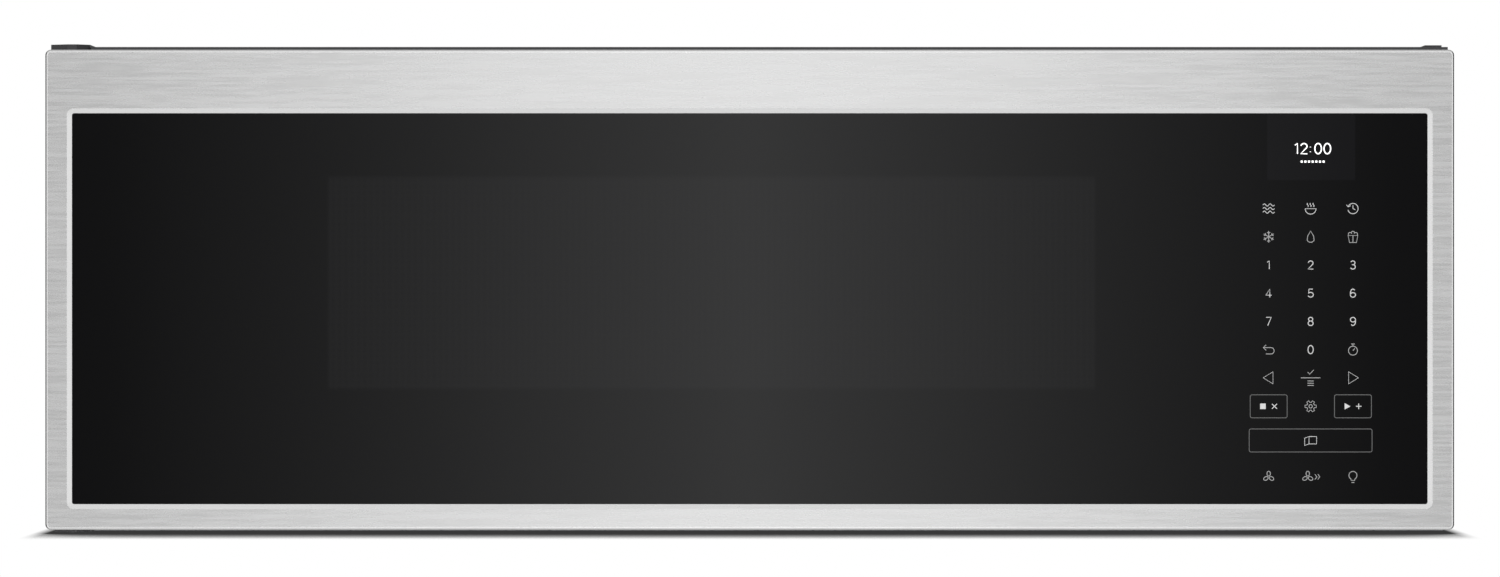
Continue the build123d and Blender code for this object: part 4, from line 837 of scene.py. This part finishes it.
def makeScreen():
    low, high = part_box("window_screen")
    pitch = screen["pitch"]
    deselectAll()
    bpy.ops.mesh.primitive_circle_add(vertices=6, radius=pitch / sqrt(3), fill_type="NOTHING")
    field = bpy.context.object
    bpy.ops.object.mode_set(mode="EDIT")
    bpy.ops.mesh.select_all(action="SELECT")
    bpy.ops.mesh.extrude_edges_move()
    bpy.ops.transform.resize(value=(screen["holeShare"],) * 2 + (1,))
    bpy.ops.mesh.select_all(action="SELECT")
    bpy.ops.mesh.duplicate_move(TRANSFORM_OT_translate={"value": (pitch / 2, pitch * sqrt(3) / 2, 0)})
    bpy.ops.object.mode_set(mode="OBJECT")
    inner = [high[i] - low[i] - 2 * (screen["border"] - screen["hidden"]) for i in (0, 2)]
    counts = (int(inner[0] / pitch - 0.5), int(inner[1] / (pitch * sqrt(3))))
    for offset, count in (((pitch, 0, 0), counts[0]), ((0, pitch * sqrt(3), 0), counts[1])):
        applyModifier(field, "ARRAY", count=count, use_relative_offset=False, use_constant_offset=True,
                      constant_offset_displace=offset, use_merge_vertices=True,
                      merge_threshold=screen["merge"])
    applyModifier(field, "SOLIDIFY", thickness=high.y - low.y - screen["thinner"], offset=0.0)
    spans = [[v.co[i] for v in field.data.vertices] for i in (0, 1)]
    centre = [(min(span) + max(span)) / 2 for span in spans]
    middle = [(low[i] + high[i]) / 2 for i in range(3)]
    field.data.transform(Matrix.Translation((-centre[0], -centre[1], 0)))
    turnMesh(field, pi / 2, "X", middle)
    rim = addBlock("rim", low, high)
    openThrough(rim, 1, screen["border"])
    sheet = joinPieces("windowScreen", [field, rim])
    setMaterial(sheet.data, bpy.data.materials["blackPowderCoat"])
    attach(sheet, "door")
    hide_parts("window_screen")


makeScreen()
print("window screen made")

greaseFilter = {
    "frameWidth": 249.0 * mm, "border": 10.0 * mm, "edgeRound": 1.6 * mm,
    "cellLong": 8.0 * mm, "cellShort": 4.4 * mm, "strand": 0.75 * mm,
    "layers": (-0.7 * mm, 0.7 * mm),     # two layers of expanded sheet, the upper one shifted by half a cell
    "spareCells": 4,                     # more than the cut sheet needs
    "rooted": 1.0 * mm,                  # how far the mesh and the pins go into the frame
    "pinRadius": 1.5 * mm, "pinEdge": 0.3 * mm, "pinY": 55.0 * mm,
}


def meshLayer(low, high, level, shift):
    # expanded sheet: a square grid turned on its corner, drawn out along X, cut to size and given strands
    deselectAll()
    inner = greaseFilter["border"] - greaseFilter["rooted"]
    size = (high.x - low.x - 2 * inner, high.y - low.y - 2 * inner)
    cellX, cellY = greaseFilter["cellLong"], greaseFilter["cellShort"]
    count = int(size[0] / cellX + size[1] / cellY) + greaseFilter["spareCells"]
    bpy.ops.mesh.primitive_grid_add(x_subdivisions=count, y_subdivisions=count, size=count)
    layer = bpy.context.object
    layer.data.transform(Matrix.Rotation(pi / 4, 4, "Z"))
    layer.data.transform(Matrix.Diagonal((cellX / sqrt(2), cellY / sqrt(2), 1, 1)))
    layer.data.transform(Matrix.Translation((shift, 0, 0)))
    bpy.ops.object.mode_set(mode="EDIT")
    for axis in (0, 1):
        for side in (-1, 1):
            normal = [0, 0, 0]
            normal[axis] = side
            bpy.ops.mesh.select_all(action="SELECT")
            bpy.ops.mesh.bisect(plane_co=[n * size[axis] / 2 for n in normal], plane_no=normal,
                                clear_outer=True)
    bpy.ops.object.mode_set(mode="OBJECT")
    applyModifier(layer, "WIREFRAME", thickness=greaseFilter["strand"], use_even_offset=False)
    layer.data.transform(Matrix.Translation(((low.x + high.x) / 2, (low.y + high.y) / 2, level)))
    return layer


def makeFilter(side):
    low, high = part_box(f"grease_filter_{side}")
    pinReach = (high.x - low.x - greaseFilter["frameWidth"]) / 2
    frameLow = Vector((low.x + pinReach, low.y, low.z))
    frameHigh = Vector((high.x - pinReach, high.y, high.z))
    rim = addBlock("rim", frameLow, frameHigh)
    openThrough(rim, 2, greaseFilter["border"])
    applyModifier(rim, "BEVEL", width=greaseFilter["edgeRound"], segments=3, limit_method="ANGLE")
    middle = (low.z + high.z) / 2
    layers = [meshLayer(frameLow, frameHigh, middle + level, shift)
              for level, shift in zip(greaseFilter["layers"], (0.0, greaseFilter["cellLong"] / 2))]
    pins = []
    rooted = greaseFilter["rooted"]
    for start, end in ((low.x, frameLow.x + rooted), (frameHigh.x - rooted, high.x)):
        deselectAll()
        bpy.ops.mesh.primitive_cylinder_add(vertices=24, radius=greaseFilter["pinRadius"], depth=end - start)
        pin = bpy.context.object
        applyModifier(pin, "BEVEL", width=greaseFilter["pinEdge"], segments=2, limit_method="ANGLE")
        turnMesh(pin, pi / 2, "Y", ((start + end) / 2, greaseFilter["pinY"], middle))
        pins.append(pin)
    whole = joinPieces(f"greaseFilter.{side}", [rim] + layers + pins)
    setMaterial(whole.data, bpy.data.materials["rolledAluminium"])
    activate(whole)
    bpy.ops.object.shade_smooth_by_angle(angle=radians(35))
    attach(whole, f"filter_{side}")
    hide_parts(f"grease_filter_{side}")


for side in ("left", "right"):
    makeFilter(side)
print("grease filters made")


def shortenSpring():
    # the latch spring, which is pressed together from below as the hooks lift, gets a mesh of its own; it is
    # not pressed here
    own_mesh(nodes["latch_spring"])


shortenSpring()
print("spring set")


# Floor, light and world

# the shadow settings below shape the floor's painted shade, which is drawn into its glow, not cast by lamps
floorLook = {
    "half": 4.0, "drop": 0.2 * mm, "colour": "#FFFFFF",
    "shadowReach": 80 * mm, "shadowPower": 5.0, "shadowLeast": 0.04, "samples": 16,
    "sideReach": 8 * mm,                 # how far the shade goes past the cabinet's sides
}


def seenDirectly(tree):
    # 1 for what the camera sees, also through glass, and 0 for the light that falls on the object
    rays = addNode(tree, "ShaderNodeLightPath").outputs
    return maths(tree, "MAXIMUM", rays["Is Camera Ray"], rays["Is Transmission Ray"])


def makeFloor():
    # The studio's white floor glows white to the camera, with painted shade close round the object taken from
    # ambient occlusion and cut off just past the cabinet's sides, and lets light reach its underside
    deselectAll()
    bpy.ops.mesh.primitive_plane_add(size=2 * floorLook["half"], location=(0, 0, -floorLook["drop"]))
    floor = bpy.context.object
    floor.name = "floor"
    material, tree, place = blankMaterial("studioFloor")
    # painted shadow: the floor's glow is dimmed near the object by ambient occlusion, not by any lamp
    shade = addNode(tree, "ShaderNodeAmbientOcclusion",
                    {"samples": floorLook["samples"], "Distance": floorLook["shadowReach"]})
    deepened = maths(tree, "POWER", shade.outputs["AO"], floorLook["shadowPower"])
    sideways = maths(tree, "ABSOLUTE", axes(tree, place)["X"])
    half = cadBounds[1][0]
    past = ramp(tree, sideways, half, half + floorLook["sideReach"])
    level = mixLevels(tree, past, deepened, 1.0)
    kept = maths(tree, "MAXIMUM", level, floorLook["shadowLeast"])
    white = addNode(tree, "ShaderNodeEmission", {"Color": linear(floorLook["colour"]), "Strength": kept})
    unseen = addNode(tree, "ShaderNodeBsdfTransparent")
    behind = addNode(tree, "ShaderNodeNewGeometry").outputs["Backfacing"]
    seen = maths(tree, "MULTIPLY", seenDirectly(tree), maths(tree, "SUBTRACT", 1.0, behind))
    shader = addNode(tree, "ShaderNodeMixShader", {0: seen, 1: unseen.outputs[0], 2: white.outputs[0]})
    addNode(tree, "ShaderNodeOutputMaterial", {"Surface": shader.outputs[0]})
    floor.data.materials.append(material)


studio = {
    # level of light, by degrees round from straight in front, in a low ring that the glass mirrors
    "ring": ((0, 0.81), (0.65, 0.7), (1.25, 0.61), (2.1, 0.49), (2.9, 0.37), (4.1, 0.23), (5.1, 0.14),
             (6.2, 0.07), (9, 0.12), (20, 0.5), (45, 1.0), (64, 1.05), (72, 0.55), (80, 0.15), (150, 0.2),
             (180, 0.9)),
    # level above and below the ring, by degrees away from straight in front
    "dome": ((0, 2.45), (6, 2.3), (12, 2.05), (25, 1.7), (45, 1.2), (63, 0.97), (76, 0.75), (90, 0.5),
             (105, 0.5), (120, 0.7), (140, 0.9), (180, 1.0)),
    # share of the dome's level, by degrees round
    "domeRound": ((0, 1.0), (2.6, 0.9), (4.8, 0.58), (6.4, 0.38), (11, 0.32), (20, 0.6), (40, 0.95),
                  (64, 1.0), (72, 0.55), (80, 0.15), (180, 0.15)),
    "lowDome": (24.0, 50.0),             # degrees above the horizon up to which the share holds, and ends
    "top": 2.5,                          # level that 1 on the curves stands for
    "ringEdge": (4.5, 9.0),              # degrees above the horizon where the ring gives way
}


def curveByAngle(tree, points, angle):
    # the level at that angle, as a share of the top; the angle is a share of the half turn
    curve = addNode(tree, "ShaderNodeFloatCurve", {"Value": angle})
    line = curve.mapping.curves[0]
    while len(line.points) < len(points):
        line.points.new(0.5, 0.5)
    for spot, (turn, level) in zip(line.points, points):
        spot.location = (turn / 180, level / studio["top"])
    curve.mapping.update()
    return curve.outputs[0]


def makeWorld():
    world = bpy.data.worlds.new("studio")
    bpy.context.scene.world = world
    world.use_nodes = True
    tree = world.node_tree
    tree.nodes.clear()
    toward = axes(tree, addNode(tree, "ShaderNodeTexCoord").outputs["Generated"])
    sideways = maths(tree, "ABSOLUTE", toward["X"])
    ahead = maths(tree, "MULTIPLY", toward["Y"], -1.0)
    height = maths(tree, "ABSOLUTE", toward["Z"])
    around = maths(tree, "DIVIDE", maths(tree, "ARCTAN2", sideways, ahead), pi)
    away = maths(tree, "DIVIDE", maths(tree, "ARCCOSINE", ahead), pi)
    ring = curveByAngle(tree, studio["ring"], around)
    dome = curveByAngle(tree, studio["dome"], away)
    domeRound = curveByAngle(tree, studio["domeRound"], around)
    high, aboveRing = [ramp(tree, height, *[sin(radians(a)) for a in studio[name]])
                       for name in ("lowDome", "ringEdge")]
    evened = mixLevels(tree, high, domeRound, 1 / studio["top"])
    broad = maths(tree, "MULTIPLY", maths(tree, "MULTIPLY", dome, evened), studio["top"])
    level = mixLevels(tree, aboveRing, ring, broad)
    strength = maths(tree, "MULTIPLY", level, studio["top"])
    light = addNode(tree, "ShaderNodeBackground", {"Color": (1, 1, 1, 1), "Strength": strength})
    white = addNode(tree, "ShaderNodeBackground", {"Color": (1, 1, 1, 1), "Strength": 1.0})
    mixed = addNode(tree, "ShaderNodeMixShader",
                    {0: seenDirectly(tree), 1: light.outputs[0], 2: white.outputs[0]})
    addNode(tree, "ShaderNodeOutputWorld", {"Surface": mixed.outputs[0]})


makeFloor()
makeWorld()
print("studio lit")
